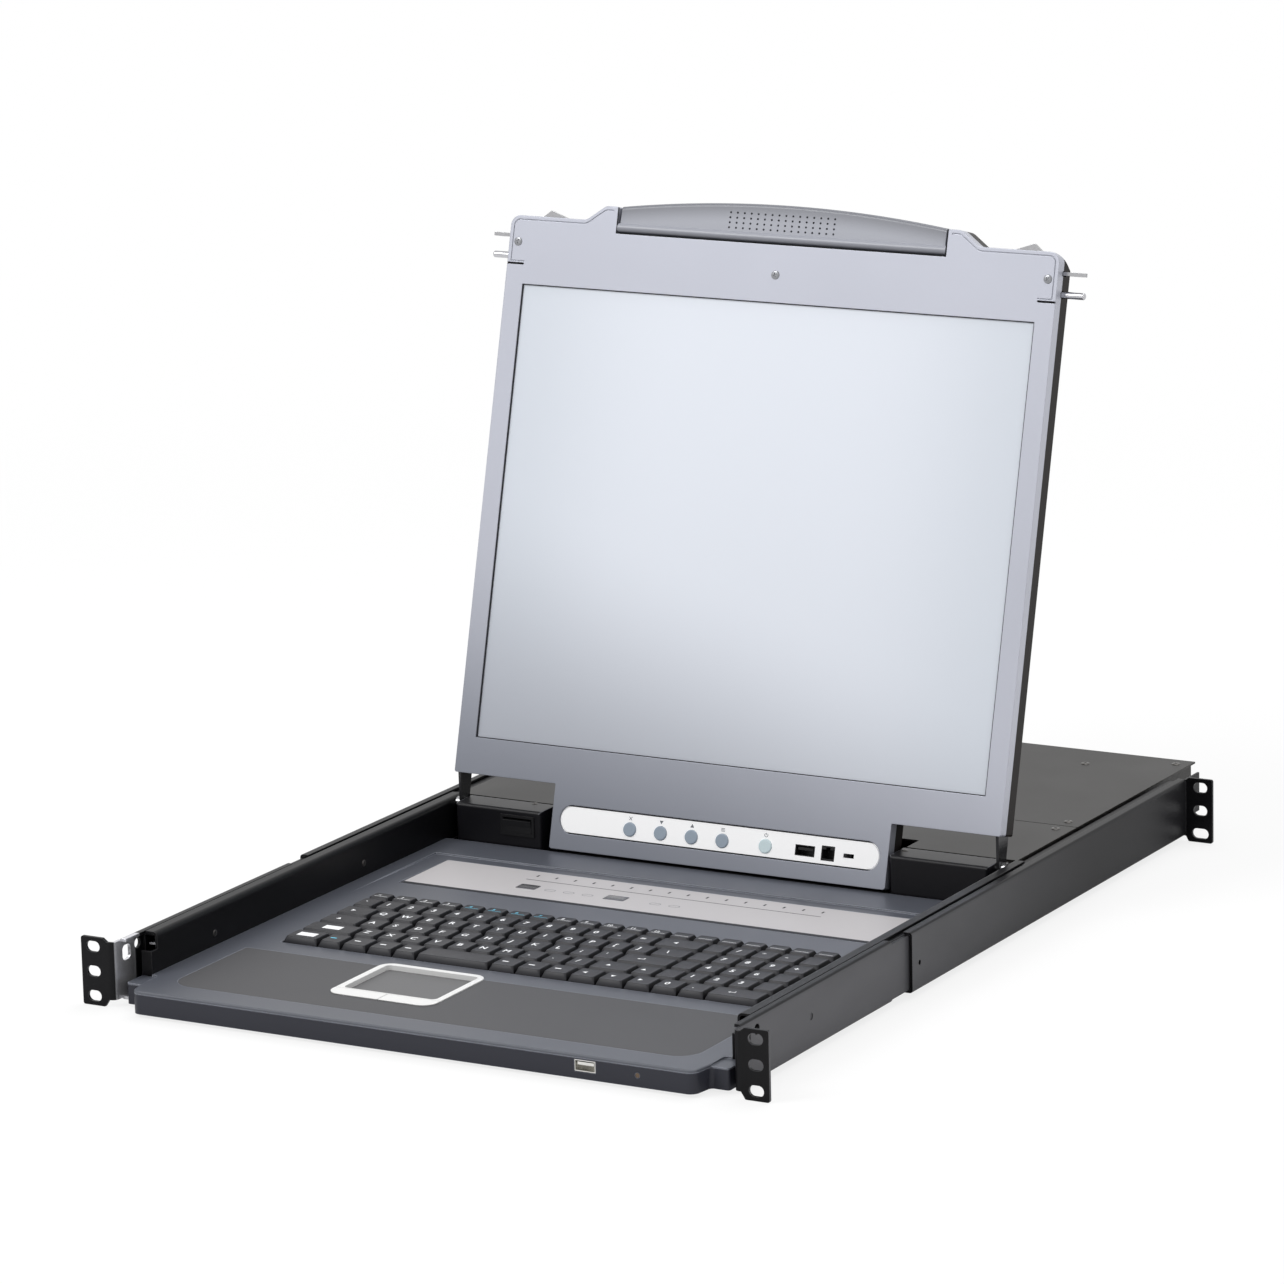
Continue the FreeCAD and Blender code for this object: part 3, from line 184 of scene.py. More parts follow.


# painted, plated and moulded finishes

# edgeWearAndHighlight is the colour of lighter edges: partly paint wear, partly a painted highlight
finishes = {
    "blackCoat": {"color": (0.0045, 0.0044, 0.0052), "roughness": 0.36, "grain": 1400, "depth": 0.00003,
                  "vary": 0.16, "specular": 0.13, "edge": 0.0007, "edgeWearAndHighlight": (0.060, 0.060, 0.064)},
    "blockCoat": {"color": (0.0070, 0.0068, 0.0085), "roughness": 0.34, "grain": 1400, "depth": 0.00003,
                  "vary": 0.14, "specular": 0.20, "edge": 0.0011, "edgeWearAndHighlight": (0.34, 0.35, 0.39)},
    "caseCoat": {"color": (0.014, 0.0125, 0.011), "roughness": 0.42, "grain": 1200, "depth": 0.00003,
                 "vary": 0.14, "specular": 0.28, "edge": 0.0007, "edgeWearAndHighlight": (0.11, 0.105, 0.10)},
    "deckCoat": {"color": (0.076, 0.082, 0.100), "roughness": 0.42, "grain": 1600, "depth": 0.00002,
                 "vary": 0.07, "specular": 0.48, "edge": 0.0012, "edgeWearAndHighlight": (0.36, 0.38, 0.44)},
    "fasciaCoat": {"color": (0.026, 0.027, 0.036), "roughness": 0.36, "grain": 1500, "depth": 0.00002,
                   "vary": 0.07, "specular": 0.22, "edge": 0.0010, "edgeWearAndHighlight": (0.20, 0.21, 0.25)},
    "coverCoat": {"color": (0.0080, 0.0060, 0.0052), "roughness": 0.36, "grain": 1300, "depth": 0.00003,
                  "vary": 0.12, "specular": 0.09, "edge": 0.0005},
    "restFilm": {"color": (0.066, 0.066, 0.070), "roughness": 0.55, "grain": 2200, "depth": 0.00004,
                 "vary": 0.10, "specular": 0.30},
    "keyPlastic": {"color": (0.020, 0.020, 0.024), "roughness": 0.42, "grain": 2500, "depth": 0.00002,
                   "vary": 0.05, "specular": 0.26},
    # painted shade: a darker copy of the key plastic for key flanks and for gaps in the display front
    "paintedShadeBlack": {"color": (0.005, 0.005, 0.006), "roughness": 0.50, "grain": 2500, "depth": 0.00002,
                 "vary": 0.05, "specular": 0.10},
    "padPlastic": {"color": (0.125, 0.125, 0.128), "roughness": 0.50, "grain": 2400, "depth": 0.00002,
                   "vary": 0.05, "specular": 0.35},
    "stripFilm": {"color": (0.52, 0.50, 0.505), "roughness": 0.45, "grain": 1500, "depth": 0.00001,
                  "vary": 0.04, "specular": 0.4},
    # painted light: the white plastic glows a little
    "whitePlastic": {"color": (0.95, 0.95, 0.955), "roughness": 0.30, "grain": 1500, "depth": 0.00001,
                     "vary": 0.02, "specular": 0.5, "glow": 0.12},
    "buttonPlastic": {"color": (0.30, 0.36, 0.43), "roughness": 0.38, "grain": 2000, "depth": 0.00001,
                      "vary": 0.04, "specular": 0.5},
    "palePlastic": {"color": (0.62, 0.74, 0.77), "roughness": 0.38, "grain": 2000, "depth": 0.00001,
                    "vary": 0.04, "specular": 0.5},
    "socketPlastic": {"color": (0.010, 0.010, 0.011), "roughness": 0.35, "grain": 2000, "depth": 0.00002,
                      "vary": 0.05, "specular": 0.25, "edge": 0.0003},
    "boardMask": {"color": (0.02, 0.12, 0.06), "roughness": 0.40, "grain": 900, "depth": 0.00002,
                  "vary": 0.15, "specular": 0.4},
    "lensPlastic": {"color": (0.10, 0.06, 0.03), "roughness": 0.20, "grain": 900, "depth": 0.00001,
                    "vary": 0.05, "specular": 0.5},
    "silverCoat": {"color": (0.82, 0.82, 0.81), "roughness": 0.30, "grain": 1500, "depth": 0.00001,
                   "vary": 0.03, "metallic": 0.15, "specular": 0.5, "edge": 0.0003},
    "zincPlate": {"color": (0.36, 0.36, 0.37), "roughness": 0.24, "grain": 500, "depth": 0.00002,
                  "vary": 0.12, "metallic": 1.0, "edge": 0.0003},
    "darkScrew": {"color": (0.10, 0.095, 0.09), "roughness": 0.32, "grain": 700, "depth": 0.00001,
                  "vary": 0.12, "metallic": 0.9},
    "steelScrew": {"color": (0.26, 0.265, 0.28), "roughness": 0.28, "grain": 700, "depth": 0.00001,
                   "vary": 0.12, "metallic": 0.9},
    "nickelPlate": {"color": (0.66, 0.65, 0.62), "roughness": 0.24, "grain": 600, "depth": 0.00001,
                    "vary": 0.08, "metallic": 1.0},
    "chromePlate": {"color": (0.48, 0.48, 0.50), "roughness": 0.12, "grain": 400, "depth": 0.000005,
                    "vary": 0.03, "metallic": 1.0},
    "hingeCoat": {"color": (0.045, 0.045, 0.048), "roughness": 0.22, "grain": 500, "depth": 0.00006,
                  "vary": 0.20, "metallic": 0.6, "edge": 0.0006},
    "whiteInk": {"color": (0.93, 0.94, 0.96), "roughness": 0.5, "grain": 2000, "depth": 0.000005,
                 "vary": 0.04},
    "blueInk": {"color": (0.16, 0.58, 0.78), "roughness": 0.5, "grain": 2000, "depth": 0.000005,
                "vary": 0.04},
    "greyInk": {"color": (0.16, 0.17, 0.19), "roughness": 0.5, "grain": 2000, "depth": 0.000005,
                "vary": 0.04},
    # darkPrintAndShade: printed lines and ticks, and painted shade for the grip dots and the port strip's
    # front band
    "darkPrintAndShade": {"color": (0.030, 0.031, 0.036), "roughness": 0.5, "grain": 2000, "depth": 0.000005,
                "vary": 0.04, "specular": 0.1},
    "windowTint": {"color": (0.075, 0.073, 0.080), "roughness": 0.18, "grain": 900, "depth": 0.000005,
                   "vary": 0.06},
    "gasketRubber": {"color": (0.020, 0.020, 0.024), "roughness": 0.6, "grain": 1500, "depth": 0.00002,
                     "vary": 0.08, "specular": 0.2},
}


finishNoise = {"grainDetail": 3, "cloud": 18, "cloudDetail": 4, "polish": 0.08, "edgeWearAndHighlightAmount": 0.45, "specular": 0.4}


def makeFinish(name, look, noise):
    shader = Shader(name)
    grain = shader.noise(look["grain"], noise["grainDetail"])
    cloud = shader.noise(noise["cloud"], noise["cloudDetail"])
    shade = 1 + (cloud - 0.5) * look["vary"] + (grain - 0.5) * look["vary"]
    roughness = look["roughness"] + (cloud - 0.5) * noise["polish"]
    shader.fixed(Specular_IOR_Level=look.get("specular", noise["specular"]))
    # glow makes a finish emit a little of its own colour: painted light on the white control strip, which is
    # no lamp
    shader.fixed(Emission_Color=(*look["color"], 1), Emission_Strength=look.get("glow", 0.0))
    tone = shader.tint(look["color"], shade)
    # lighter edges: partly paint wear, partly a painted highlight along the rounded edges
    if "edgeWearAndHighlight" in look:
        edgeWearAndHighlight = (shader.edges(look["edge"]) * (noise["edgeWearAndHighlightAmount"] + cloud)).clamped()
        tone = shader.blend(edgeWearAndHighlight, tone, look["edgeWearAndHighlight"])
    return shader.fill(Base_Color=tone, Roughness=roughness,
                       Metallic=look.get("metallic", 0.0),
                       Normal=shader.bump(grain, look["depth"], look.get("edge", 0.0)))
materials = {name: makeFinish(name, look, finishNoise) for name, look in finishes.items()}

# display front: satin metallic paint with painted shade, darker towards the foot and the left, and a pale
# panel under an anti-glare film, with a painted highlight in its middle and painted shade at its sides and
# foot

bezelPaint = {"color": (0.455, 0.468, 0.530), "foot": (0.200, 0.212, 0.247), "low": -0.030, "high": 0.150,
              "paintedShadeSlant": 0.26, "roughness": 0.36, "polish": 0.06, "metallic": 0.45, "grain": 2600,
              "flakes": 0.08, "cloud": 9, "patches": 0.12, "depth": 0.00001, "edge": 0.0007}


def makeBezelPaint(look):
    shader = Shader("bezelPaint")
    flake = shader.noise(look["grain"], 2)
    cloud = shader.noise(look["cloud"], 3)
    # painted shade: the paint blends to the darker foot colour towards the bottom and the left
    height = shader.axis("Z") + shader.axis("X") * look["paintedShadeSlant"]
    tone = shader.blend(shader.rise(height, look["low"], look["high"]), look["foot"], look["color"])
    shade = 1 + (flake - 0.5) * look["flakes"] + (cloud - 0.5) * look["patches"]
    return shader.fill(Base_Color=shader.tint(tone, shade), Metallic=look["metallic"],
                       Roughness=look["roughness"] + (flake - 0.5) * look["polish"],
                       Normal=shader.bump(flake, look["depth"], look["edge"]))


panelLook = {"middle": (0.78, 0.815, 0.885), "side": (0.66, 0.70, 0.765), "foot": (0.40, 0.42, 0.47),
             "low": -0.010, "high": 0.175, "paintedShadeSlant": 0.30, "paintedHighlightSpread": 0.036, "roughness": 0.30, "polish": 0.1,
             "grain": 3500, "depth": 0.000004}


def makePanel(look):
    shader = Shader("panelGlass")
    across = shader.axis("X")
    # painted light: paler in the middle, painted shade towards the sides, the foot and the left
    side = shader.rise(across * across, 0.0, look["paintedHighlightSpread"])
    height = shader.axis("Z") + across * look["paintedShadeSlant"]
    tone = shader.blend(side, look["middle"], look["side"])
    tone = shader.blend(shader.rise(height, look["low"], look["high"]), look["foot"], tone)
    grain = shader.noise(look["grain"], 2)
    return shader.fill(Base_Color=tone, Roughness=look["roughness"] + (grain - 0.5) * look["polish"],
                       Normal=shader.bump(grain, look["depth"]))


# painted shade on the grip: the shade colour at the foot of the bead, and darker along the top and towards
# the ends
gripPaint = {"color": (0.34, 0.35, 0.395), "shade": (0.055, 0.057, 0.068), "foot": 0.3925, "crease": 0.4000,
             "crown": (0.4055, 0.4185), "bow": 0.55, "dark": 0.6, "roughness": 0.32, "grain": 1800,
             "flakes": 0.05, "depth": 0.00002, "edge": 0.0006}


def makeGripPaint(look):
    shader = Shader("gripPaint")
    height = shader.axis("Z")
    across = shader.axis("X")
    grain = shader.noise(look["grain"], 3)
    foot = shader.rise(height, look["foot"], look["crease"])
    crown = 1 - shader.rise(height + across * across * look["bow"], *look["crown"]) * look["dark"]
    tone = shader.blend(foot * crown, look["shade"], look["color"])
    return shader.fill(Base_Color=shader.tint(tone, 1 + (grain - 0.5) * look["flakes"]),
                       Roughness=look["roughness"], Normal=shader.bump(grain, look["depth"], look["edge"]))


materials["bezelPaint"] = makeBezelPaint(bezelPaint)
materials["gripPaint"] = makeGripPaint(gripPaint)
materials["panelGlass"] = makePanel(panelLook)

# bare bright bend behind the front ears, black powder coat on the rest of the brackets, with a painted
# reflection on the outward side faces that fades towards the rear

bracketLook = {"coat": (0.0045, 0.0044, 0.0052), "outer": (0.085, 0.085, 0.092), "steel": (0.74, 0.74, 0.77),
               "edgeWearAndHighlight": (0.10, 0.10, 0.105), "front": (0.0015, 0.0025), "back": (0.0225, 0.0245),
               "side": (-0.1, 0.1), "plate": (-0.2204, -0.2196), "bare": 0.35, "facing": (0.14, 0.20),
               "length": (0.10, 0.52), "fade": 0.85, "streak": (900, 10, 30), "streaks": 0.6, "grain": 1400,
               "flakes": 0.2, "roughness": 0.36, "polish": 0.08, "specular": 0.13, "depth": 0.00002,
               "edge": 0.0006, "edgeWearAndHighlightRadius": 0.0007, "edgeWearAndHighlightAmount": 0.6}


def makeBracketCoat(look):
    shader = Shader("bracketCoat")
    depth = shader.axis("Y")
    across = shader.axis("X")
    grain = shader.noise(look["grain"], 3)
    streak = shader.noise(1.0, 3, look["streak"])
    bare = shader.rise(depth, *look["front"]) * (1 - shader.rise(depth, *look["back"]))
    bare = bare * (1 - shader.rise(across, *look["side"])) * shader.rise(across, *look["plate"])
    bare = (bare * (look["bare"] + streak)).clamped()
    shade = 1 + (grain - 0.5) * look["flakes"] + (streak - 0.5) * look["streaks"]
    # painted reflection: the outward side faces are lighter, fading towards the rear
    outward = shader.add("SeparateXYZ", {}, (shader.add("NewGeometry", output="True Normal"),), "X") * across
    outer = shader.rise(outward, *look["facing"]) * (1 - shader.rise(depth, *look["length"]) * look["fade"])
    edge = shader.edges(look["edgeWearAndHighlightRadius"]) * look["edgeWearAndHighlightAmount"]
    shader.fixed(Specular_IOR_Level=look["specular"])
    tone = shader.blend(edge, shader.blend(outer, look["coat"], look["outer"]), look["edgeWearAndHighlight"])
    return shader.fill(Base_Color=shader.tint(shader.blend(bare, tone, look["steel"]), shade), Metallic=bare,
                       Roughness=look["roughness"] - bare * look["polish"],
                       Normal=shader.bump(grain, look["depth"], look["edge"]))


materials["bracketCoat"] = makeBracketCoat(bracketLook)
nodeFinish = {
    "blackCoat": "side_rail_left side_rail_right drawer_side_left drawer_side_right tray_pan keyboard_plate",
    "blockCoat": "hinge_block_left hinge_block_right",
    "bracketCoat": "front_bracket_left front_bracket_right rear_bracket_left rear_bracket_right",
    "caseCoat": "rear_case middle_cover rear_cover",
    "coverCoat": "lid_back_cover power_supply",
    "deckCoat": "keyboard_deck",
    "fasciaCoat": "front_fascia",
    "restFilm": "palm_rest",
    "padPlastic": "touchpad_surface",
    "silverCoat": "touchpad_frame touchpad_button_left touchpad_button_right",
    "stripFilm": "port_strip",
    "keyPlastic": "keys_function_row keys_number_row keys_upper_row keys_home_row keys_lower_row "
                  "keys_bottom_row",
    "gripPaint": "handle_grip",
    "whitePlastic": "control_strip",
    "buttonPlastic": "exit_button down_button up_button menu_button",
    "palePlastic": "panel_power_button",
    "socketPlastic": "rocker_housing power_rocker lid_ports recovery_switch power_inlet",
    "boardMask": "main_board",
    "lensPlastic": "power_led",
    "zincPlate": "ball_cage_left ball_cage_right slide_runners hinge_shafts bezel_screws "
                 "release_catch_left release_catch_right",
    "darkScrew": "case_screws",
    "hingeCoat": "hinge_leaves",
    "nickelPlate": "front_usb_port rear_ports",
    "chromePlate": "latch_pin_left latch_pin_right",
    "bezelPaint": "lid_bezel",
    "panelGlass": "lid_panel",
}


def dressNodes():
    for finish, names in nodeFinish.items():
        for name in names.split():
            for slot in nodes[name].material_slots:
                slot.material = materials[finish]


dressNodes()
print("finishes on the CAD nodes")

# mesh tools

hinge = {"y": 0.395, "z": 0.016, "lean": 14.8}
lidTurn = (Matrix.Translation((0, hinge["y"], hinge["z"])) @
           Matrix.Rotation(-math.radians(hinge["lean"]), 4, "X"))
quarter = math.radians(90)


def addRing(bm, points):
    return [bm.verts.new(point) for point in points]


def joinRings(bm, lower, upper, finish=0):
    count = len(lower)
    for i in range(count):
        face = bm.faces.new((lower[i], lower[(i + 1) % count], upper[(i + 1) % count], upper[i]))
        face.material_index = finish


def closeRing(bm, ring, finish=0):
    bm.faces.new(ring).material_index = finish


def roundRect(left, right, front, back, radius, height, steps=3):
    points = []
    inLeft, inRight, inFront, inBack = left + radius, right - radius, front + radius, back - radius
    for centerX, centerY, start in ((inRight, inBack, 0), (inLeft, inBack, 90), (inLeft, inFront, 180),
                                    (inRight, inFront, 270)):
        for i in range(steps + 1):
            angle = math.radians(start + 90 * i / steps)
            points.append((centerX + radius * math.cos(angle), centerY + radius * math.sin(angle), height))
    return points


def circle(radius, height, count=20):
    return [(radius * math.cos(2 * math.pi * i / count), radius * math.sin(2 * math.pi * i / count), height)
            for i in range(count)]


def finishPiece(name, bm, finishNames, body, turn=None, smooth=35):
    bmesh.ops.recalc_face_normals(bm, faces=bm.faces)
    if turn:
        bmesh.ops.transform(bm, matrix=turn, verts=bm.verts)
    mesh = bpy.data.meshes.new(name)
    bm.to_mesh(mesh)
    bm.free()
    for finish in finishNames:
        mesh.materials.append(materials[finish])
    if smooth:
        mesh.shade_smooth()
        mesh.set_sharp_from_angle(angle=math.radians(smooth))
    piece = bpy.data.objects.new(name, mesh)
    bpy.context.scene.collection.objects.link(piece)
    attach(piece, body)
    return piece


# printed marks: plain shapes, digits and letters, as thin ink films

letterLook = {"steps": 3, "bold": 0.025}
markShapes = {
    "up": [[(-0.5, -0.35), (0.5, -0.35), (0, 0.5)]],
    "down": [[(-0.5, 0.35), (0, -0.5), (0.5, 0.35)]],
    "left": [[(0.35, -0.5), (0.35, 0.5), (-0.5, 0)]],
    "right": [[(-0.35, 0.5), (-0.35, -0.5), (0.5, 0)]],
    "block": [[(-1.15, -0.62), (1.15, -0.62), (1.15, 0.62), (-1.15, 0.62)]],
    "dash": [[(-0.6, -0.2), (0.6, -0.2), (0.6, 0.2), (-0.6, 0.2)]],
    "bar": [[(-1.5, -0.07), (1.5, -0.07), (1.5, 0.07), (-1.5, 0.07)]],
    "return": [[(0.7, 0.5), (0.5, 0.5), (0.5, 0), (-0.2, 0), (-0.2, -0.2), (0.7, -0.2)],
               [(-0.2, 0.2), (-0.7, -0.1), (-0.2, -0.4)]],
    "menu": [[(-0.5, z - 0.07), (0.5, z - 0.07), (0.5, z + 0.07), (-0.5, z + 0.07)]
             for z in (-0.3, 0, 0.3)],
    "exit": [[(-0.45, -0.35), (-0.35, -0.45), (0.45, 0.35), (0.35, 0.45)],
             [(-0.45, 0.35), (0.35, -0.45), (0.45, -0.35), (-0.35, 0.45)]],
    "power": [[(-0.07, 0), (0.07, 0), (0.07, 0.55), (-0.07, 0.55)]] +
             [[(r * math.sin(math.radians(a + d)), r * math.cos(math.radians(a + d)))
               for r, d in ((0.36, 0), (0.50, 0), (0.50, 22), (0.36, 22))] for a in range(38, 320, 22)],
    "tick": [[(-0.12, -0.5), (0.12, -0.5), (0.12, 0.5), (-0.12, 0.5)]],
}
glyphs = {}


def glyph(mark):
    if mark not in glyphs:
        if mark in markShapes:
            points = []
            faces = []
            for shape in markShapes[mark]:
                faces.append(list(range(len(points), len(points) + len(shape))))
                points += shape
            glyphs[mark] = (points, faces)
        else:
            curve = bpy.data.curves.new("mark", "FONT")
            curve.body = mark
            curve.align_x = "CENTER"
            curve.align_y = "CENTER"
            curve.resolution_u = letterLook["steps"]
            curve.offset = letterLook["bold"]
            holder = bpy.data.objects.new("mark", curve)
            bpy.context.scene.collection.objects.link(holder)
            flat = bpy.data.meshes.new_from_object(holder)
            glyphs[mark] = ([tuple(vertex.co[:2]) for vertex in flat.vertices],
                            [list(face.vertices) for face in flat.polygons])
            bpy.data.objects.remove(holder)
            bpy.data.curves.remove(curve)
            bpy.data.meshes.remove(flat)
    return glyphs[mark]


def stamp(bm, mark, at, size, finish=0, wide=1.0):
    points, faces = glyph(mark)
    verts = [bm.verts.new((at[0] + x * size * wide, at[1] + y * size, at[2])) for x, y in points]
    for face in faces:
        bm.faces.new([verts[i] for i in face]).material_index = finish


def facingFront(depth):
    return lidTurn @ Matrix.Translation((0, depth, 0)) @ Matrix.Rotation(quarter, 4, "X")


# keyboard: dished caps with printed legends, one piece and one film of legends for each row

keyLook = {"gap": 0.8 * mm, "skirt": 1.2 * mm, "corner": 0.5 * mm, "side": 1.75 * mm, "rear": 1.95 * mm,
           "round": 1.3 * mm, "lip": 0.2 * mm, "edge": 0.4 * mm, "dish": 0.28 * mm, "slope": 0.9 * mm,
           "slopeShare": 0.55, "bowl": 2.2 * mm, "height": 5.4 * mm, "stem": 1.8 * mm}
legendLook = {"size": 6.6 * mm, "small": 0.62, "block": 0.85, "sign": 0.55, "aside": 0.12, "up": 0.2 * mm,
              "smallUp": 0.9 * mm, "bar": 3.2 * mm, "barDown": 1.6 * mm, "depth": 0.5}
keyUnits = {
    "bottom": [1.5, 1, 1.1, 1.1, 1, 3.1] + [1.1] * 3 + [1.15] * 2 + [1.1] * 3 + [2.2],
    "lower": [2.25] + [1] * 10 + [1.75] + [1] * 6,
    "home": [1.75] + [1] * 11 + [2.25] + [1] * 5,
    "upper": [1.5] + [1] * 12 + [1.5] + [1] * 5,
    "number": [1] * 13 + [2] + [1] * 5,
    "function": [1] * 20,
}
keyMarks = {
    "bottom": ["block"] + ["dash"] * 4 + [""] + ["dash"] * 3 + ["left", "down", "right", "0", ".", "return"],
    "lower": ["block"] + list("ZXCVBNM,./") + ["up", "up", "", "1", "2", "3", ""],
    "home": ["up"] + list("ASDFGHJKL;'") + ["return", "", "4", "5", "6", ""],
    "upper": ["right"] + list("QWERTYUIOP[]") + ["\\", "", "7", "8", "9", "+"],
    "number": list("`1234567890-=") + ["left", "", "/", "*", "-", ""],
    "function": ["exit"] + [str(i) for i in range(1, 13)] + [""] * 7,
}
blueKeys = {"bottom": (1,), "function": (4, 5, 6, 7)}


def makeKeyCap(bm, left, right, front, back, top, look):
    base = top - look["height"]
    side, rear, lip, dish = look["side"], look["rear"], look["lip"], look["dish"]
    rings = [roundRect(left, right, front, back, look["corner"], z) for z in (base, base + look["skirt"])]
    for inset, drop in ((-lip, look["edge"]), (lip, 0), (look["slope"], dish * look["slopeShare"]),
                        (look["bowl"], dish)):
        rings.append(roundRect(left + side + inset, right - side - inset, front + side + inset,
                               back - rear - inset, look["round"], top - drop))
    verts = [addRing(bm, points) for points in rings]
    for lower, upper in zip(verts, verts[1:]):
        joinRings(bm, lower, upper)
    for face in [face for vert in verts[1] for face in vert.link_faces]:
        if face.calc_center_median().y > front + side:
            face.material_index = 1  # painted shade: flanks in the shade of the next key take a darker copy of the key plastic
    closeRing(bm, verts[-1])
    closeRing(bm, verts[0][::-1])


def makeKeyRow(row, look, legend):
    node = "keys_" + row + "_row"
    low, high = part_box(node)
    step = (high.x - low.x + look["gap"]) / sum(keyUnits[row])
    film = high.z - look["dish"] * legend["depth"]
    short = row == "function"
    caps = bmesh.new()
    ink = bmesh.new()
    left = low.x
    for index, (width, mark) in enumerate(zip(keyUnits[row], keyMarks[row])):
        right = left + width * step - look["gap"]
        makeKeyCap(caps, left, right, low.y, high.y, high.z, look)
        stemX, stemY = (left + right) / 2, (low.y + high.y) / 2
        stem = [addRing(caps, [(stemX + dx * look["stem"], stemY + dy * look["stem"], z)
                               for dx, dy in ((-1, -1), (1, -1), (1, 1), (-1, 1))])
                for z in (low.z, high.z - look["height"])]
        joinRings(caps, *stem)
        closeRing(caps, stem[0][::-1])
        color = 1 if index in blueKeys.get(row, ()) else 0
        if mark:
            size = legend["size"] * (legend["small"] if short else 1)
            if mark in markShapes:
                size *= legend["block"] if mark == "block" else legend["sign"]
            x = stemX - (right - left) * (0 if mark == "block" else legend["aside"])
            stamp(ink, mark, (x, stemY + legend["smallUp" if short else "up"], film), size, color)
        if short:
            stamp(ink, "bar", (stemX, stemY - legend["barDown"], film), legend["bar"], color)
        left += width * step
    title = row.capitalize() + "Row"
    piece = finishPiece("caps" + title, caps, ["keyPlastic", "paintedShadeBlack"], node)
    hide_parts(node)
    finishPiece("legends" + title, ink, ["whiteInk", "blueInk"], node, smooth=0)


for row in keyUnits:
    makeKeyRow(row, keyLook, legendLook)
print("key rows")

# screws with crossed recesses

screwLook = {"head": 3.0 * mm, "rise": 0.6 * mm, "profile": ((1, 0), (0.97, 0.45), (0.84, 0.8), (0.62, 1)),
             "shank": 1.5 * mm, "length": 5.0 * mm, "arm": 1.45 * mm, "slot": 0.32 * mm, "deep": 0.45 * mm,
             "taper": 0.8}


def addScrew(bm, turn, look, scale=1.0):
    new = bmesh.new()
    head, rise = look["head"], look["rise"]
    rings = [addRing(new, circle(head * radius, rise * height)) for radius, height in look["profile"]]
    for lower, upper in zip(rings, rings[1:]):
        joinRings(new, lower, upper)
    arm, slot = look["arm"], look["slot"]
    cross = [(slot, slot), (arm, slot), (arm, -slot), (slot, -slot), (slot, -arm), (-slot, -arm),
             (-slot, -slot), (-arm, -slot), (-arm, slot), (-slot, slot), (-slot, arm), (slot, arm)]
    rim = addRing(new, [(x, y, rise) for x, y in cross])
    floor = addRing(new, [(x * look["taper"], y * look["taper"], rise - look["deep"]) for x, y in cross])
    joinRings(new, rim, floor)
    closeRing(new, floor)
    loop = [new.edges.get((ring[i], ring[(i + 1) % len(ring)]))
            for ring in (rings[-1], rim) for i in range(len(ring))]
    bmesh.ops.triangle_fill(new, use_beauty=True, edges=loop)
    neck = addRing(new, circle(look["shank"], 0))
    tip = addRing(new, circle(look["shank"], -look["length"]))
    joinRings(new, rings[0], neck)
    joinRings(new, neck, tip)
    closeRing(new, tip)
    bmesh.ops.scale(new, vec=(scale, scale, scale), verts=new.verts)
    bmesh.ops.transform(new, matrix=turn, verts=new.verts)
    mesh = bpy.data.meshes.new("screw")
    new.to_mesh(mesh)
    new.free()
    bm.from_mesh(mesh)
    bpy.data.meshes.remove(mesh)


bezelScrewPlaces = {"spots": ((0, 0.3673), (-0.1956, 0.3773), (0.1956, 0.3773)), "face": -0.0124, "turn": 0.4}


def makeBezelScrews(place, look):
    bm = bmesh.new()
    for count, (x, z) in enumerate(place["spots"]):
        turn = Matrix.Translation((x, place["face"], z)) @ Matrix.Rotation(quarter, 4, "X")
        addScrew(bm, turn @ Matrix.Rotation(place["turn"] + count, 4, "Z"), look)
    piece = finishPiece("bezelScrews", bm, ["steelScrew"], "display", lidTurn)
    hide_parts("bezel_screws")


caseScrewPlaces = {"edge": 0.1960, "ahead": 0.4837, "behind": 0.5030, "rear": (0.1980, 0.6690),
                   "inner": (0.1416, 0.6450), "middle": 0.0700, "top": 0.0200, "turn": 0.7}


def makeCaseScrews(place, look):
    bm = bmesh.new()
    spots = [(place["edge"], place["ahead"]), (place["edge"], place["behind"]), place["rear"], place["inner"],
             (place["middle"], place["ahead"]), (place["middle"], place["behind"])]
    for count, (x, y) in enumerate(spots):
        for side in (-1, 1):
            turn = Matrix.Rotation(count * place["turn"] + side, 4, "Z")
            addScrew(bm, Matrix.Translation((side * x, y, place["top"])) @ turn, look)
    piece = finishPiece("caseScrews", bm, ["darkScrew"], "console_frame")
    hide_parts("case_screws")


wallScrews = {"wall": -0.2046, "spots": ((0.0947, 0.0031), (0.2736, 0.0039)), "scale": 0.75}
blockScrews = {"top": 0.0200, "spots": ((-0.1475, 0.3990), (0.1310, 0.3950)), "scale": 0.7, "turn": 0.5}


def makeDrawerScrews(wall, block, look):
    bm = bmesh.new()
    for y, z in wall["spots"]:
        turn = Matrix.Translation((wall["wall"], y, z)) @ Matrix.Rotation(quarter, 4, "Y")
        addScrew(bm, turn, look, wall["scale"])
    for x, y in block["spots"]:
        turn = Matrix.Translation((x, y, block["top"])) @ Matrix.Rotation(block["turn"], 4, "Z")
        addScrew(bm, turn, look, block["scale"])
    finishPiece("drawerScrews", bm, ["darkScrew"], "drawer")


makeDrawerScrews(wallScrews, blockScrews, screwLook)
makeBezelScrews(bezelScrewPlaces, screwLook)
makeCaseScrews(caseScrewPlaces, screwLook)
print("screws")

# display details: painted shade in the joints of its front, marks over the buttons, dots of painted shade in
# the dimples of the grip


def addUpright(bm, left, right, low, high, depth):
    corners = (left, low), (right, low), (right, high), (left, high)
    closeRing(bm, addRing(bm, [(x, depth, z) for x, z in corners]))


seamLook = {"slit": (0.1900, 0.2022, 0.3620, 0.3634), "face": -0.01244, "reach": 0.1220, "gap": 0.8 * mm,
            "low": 0.3870, "high": 0.4046}


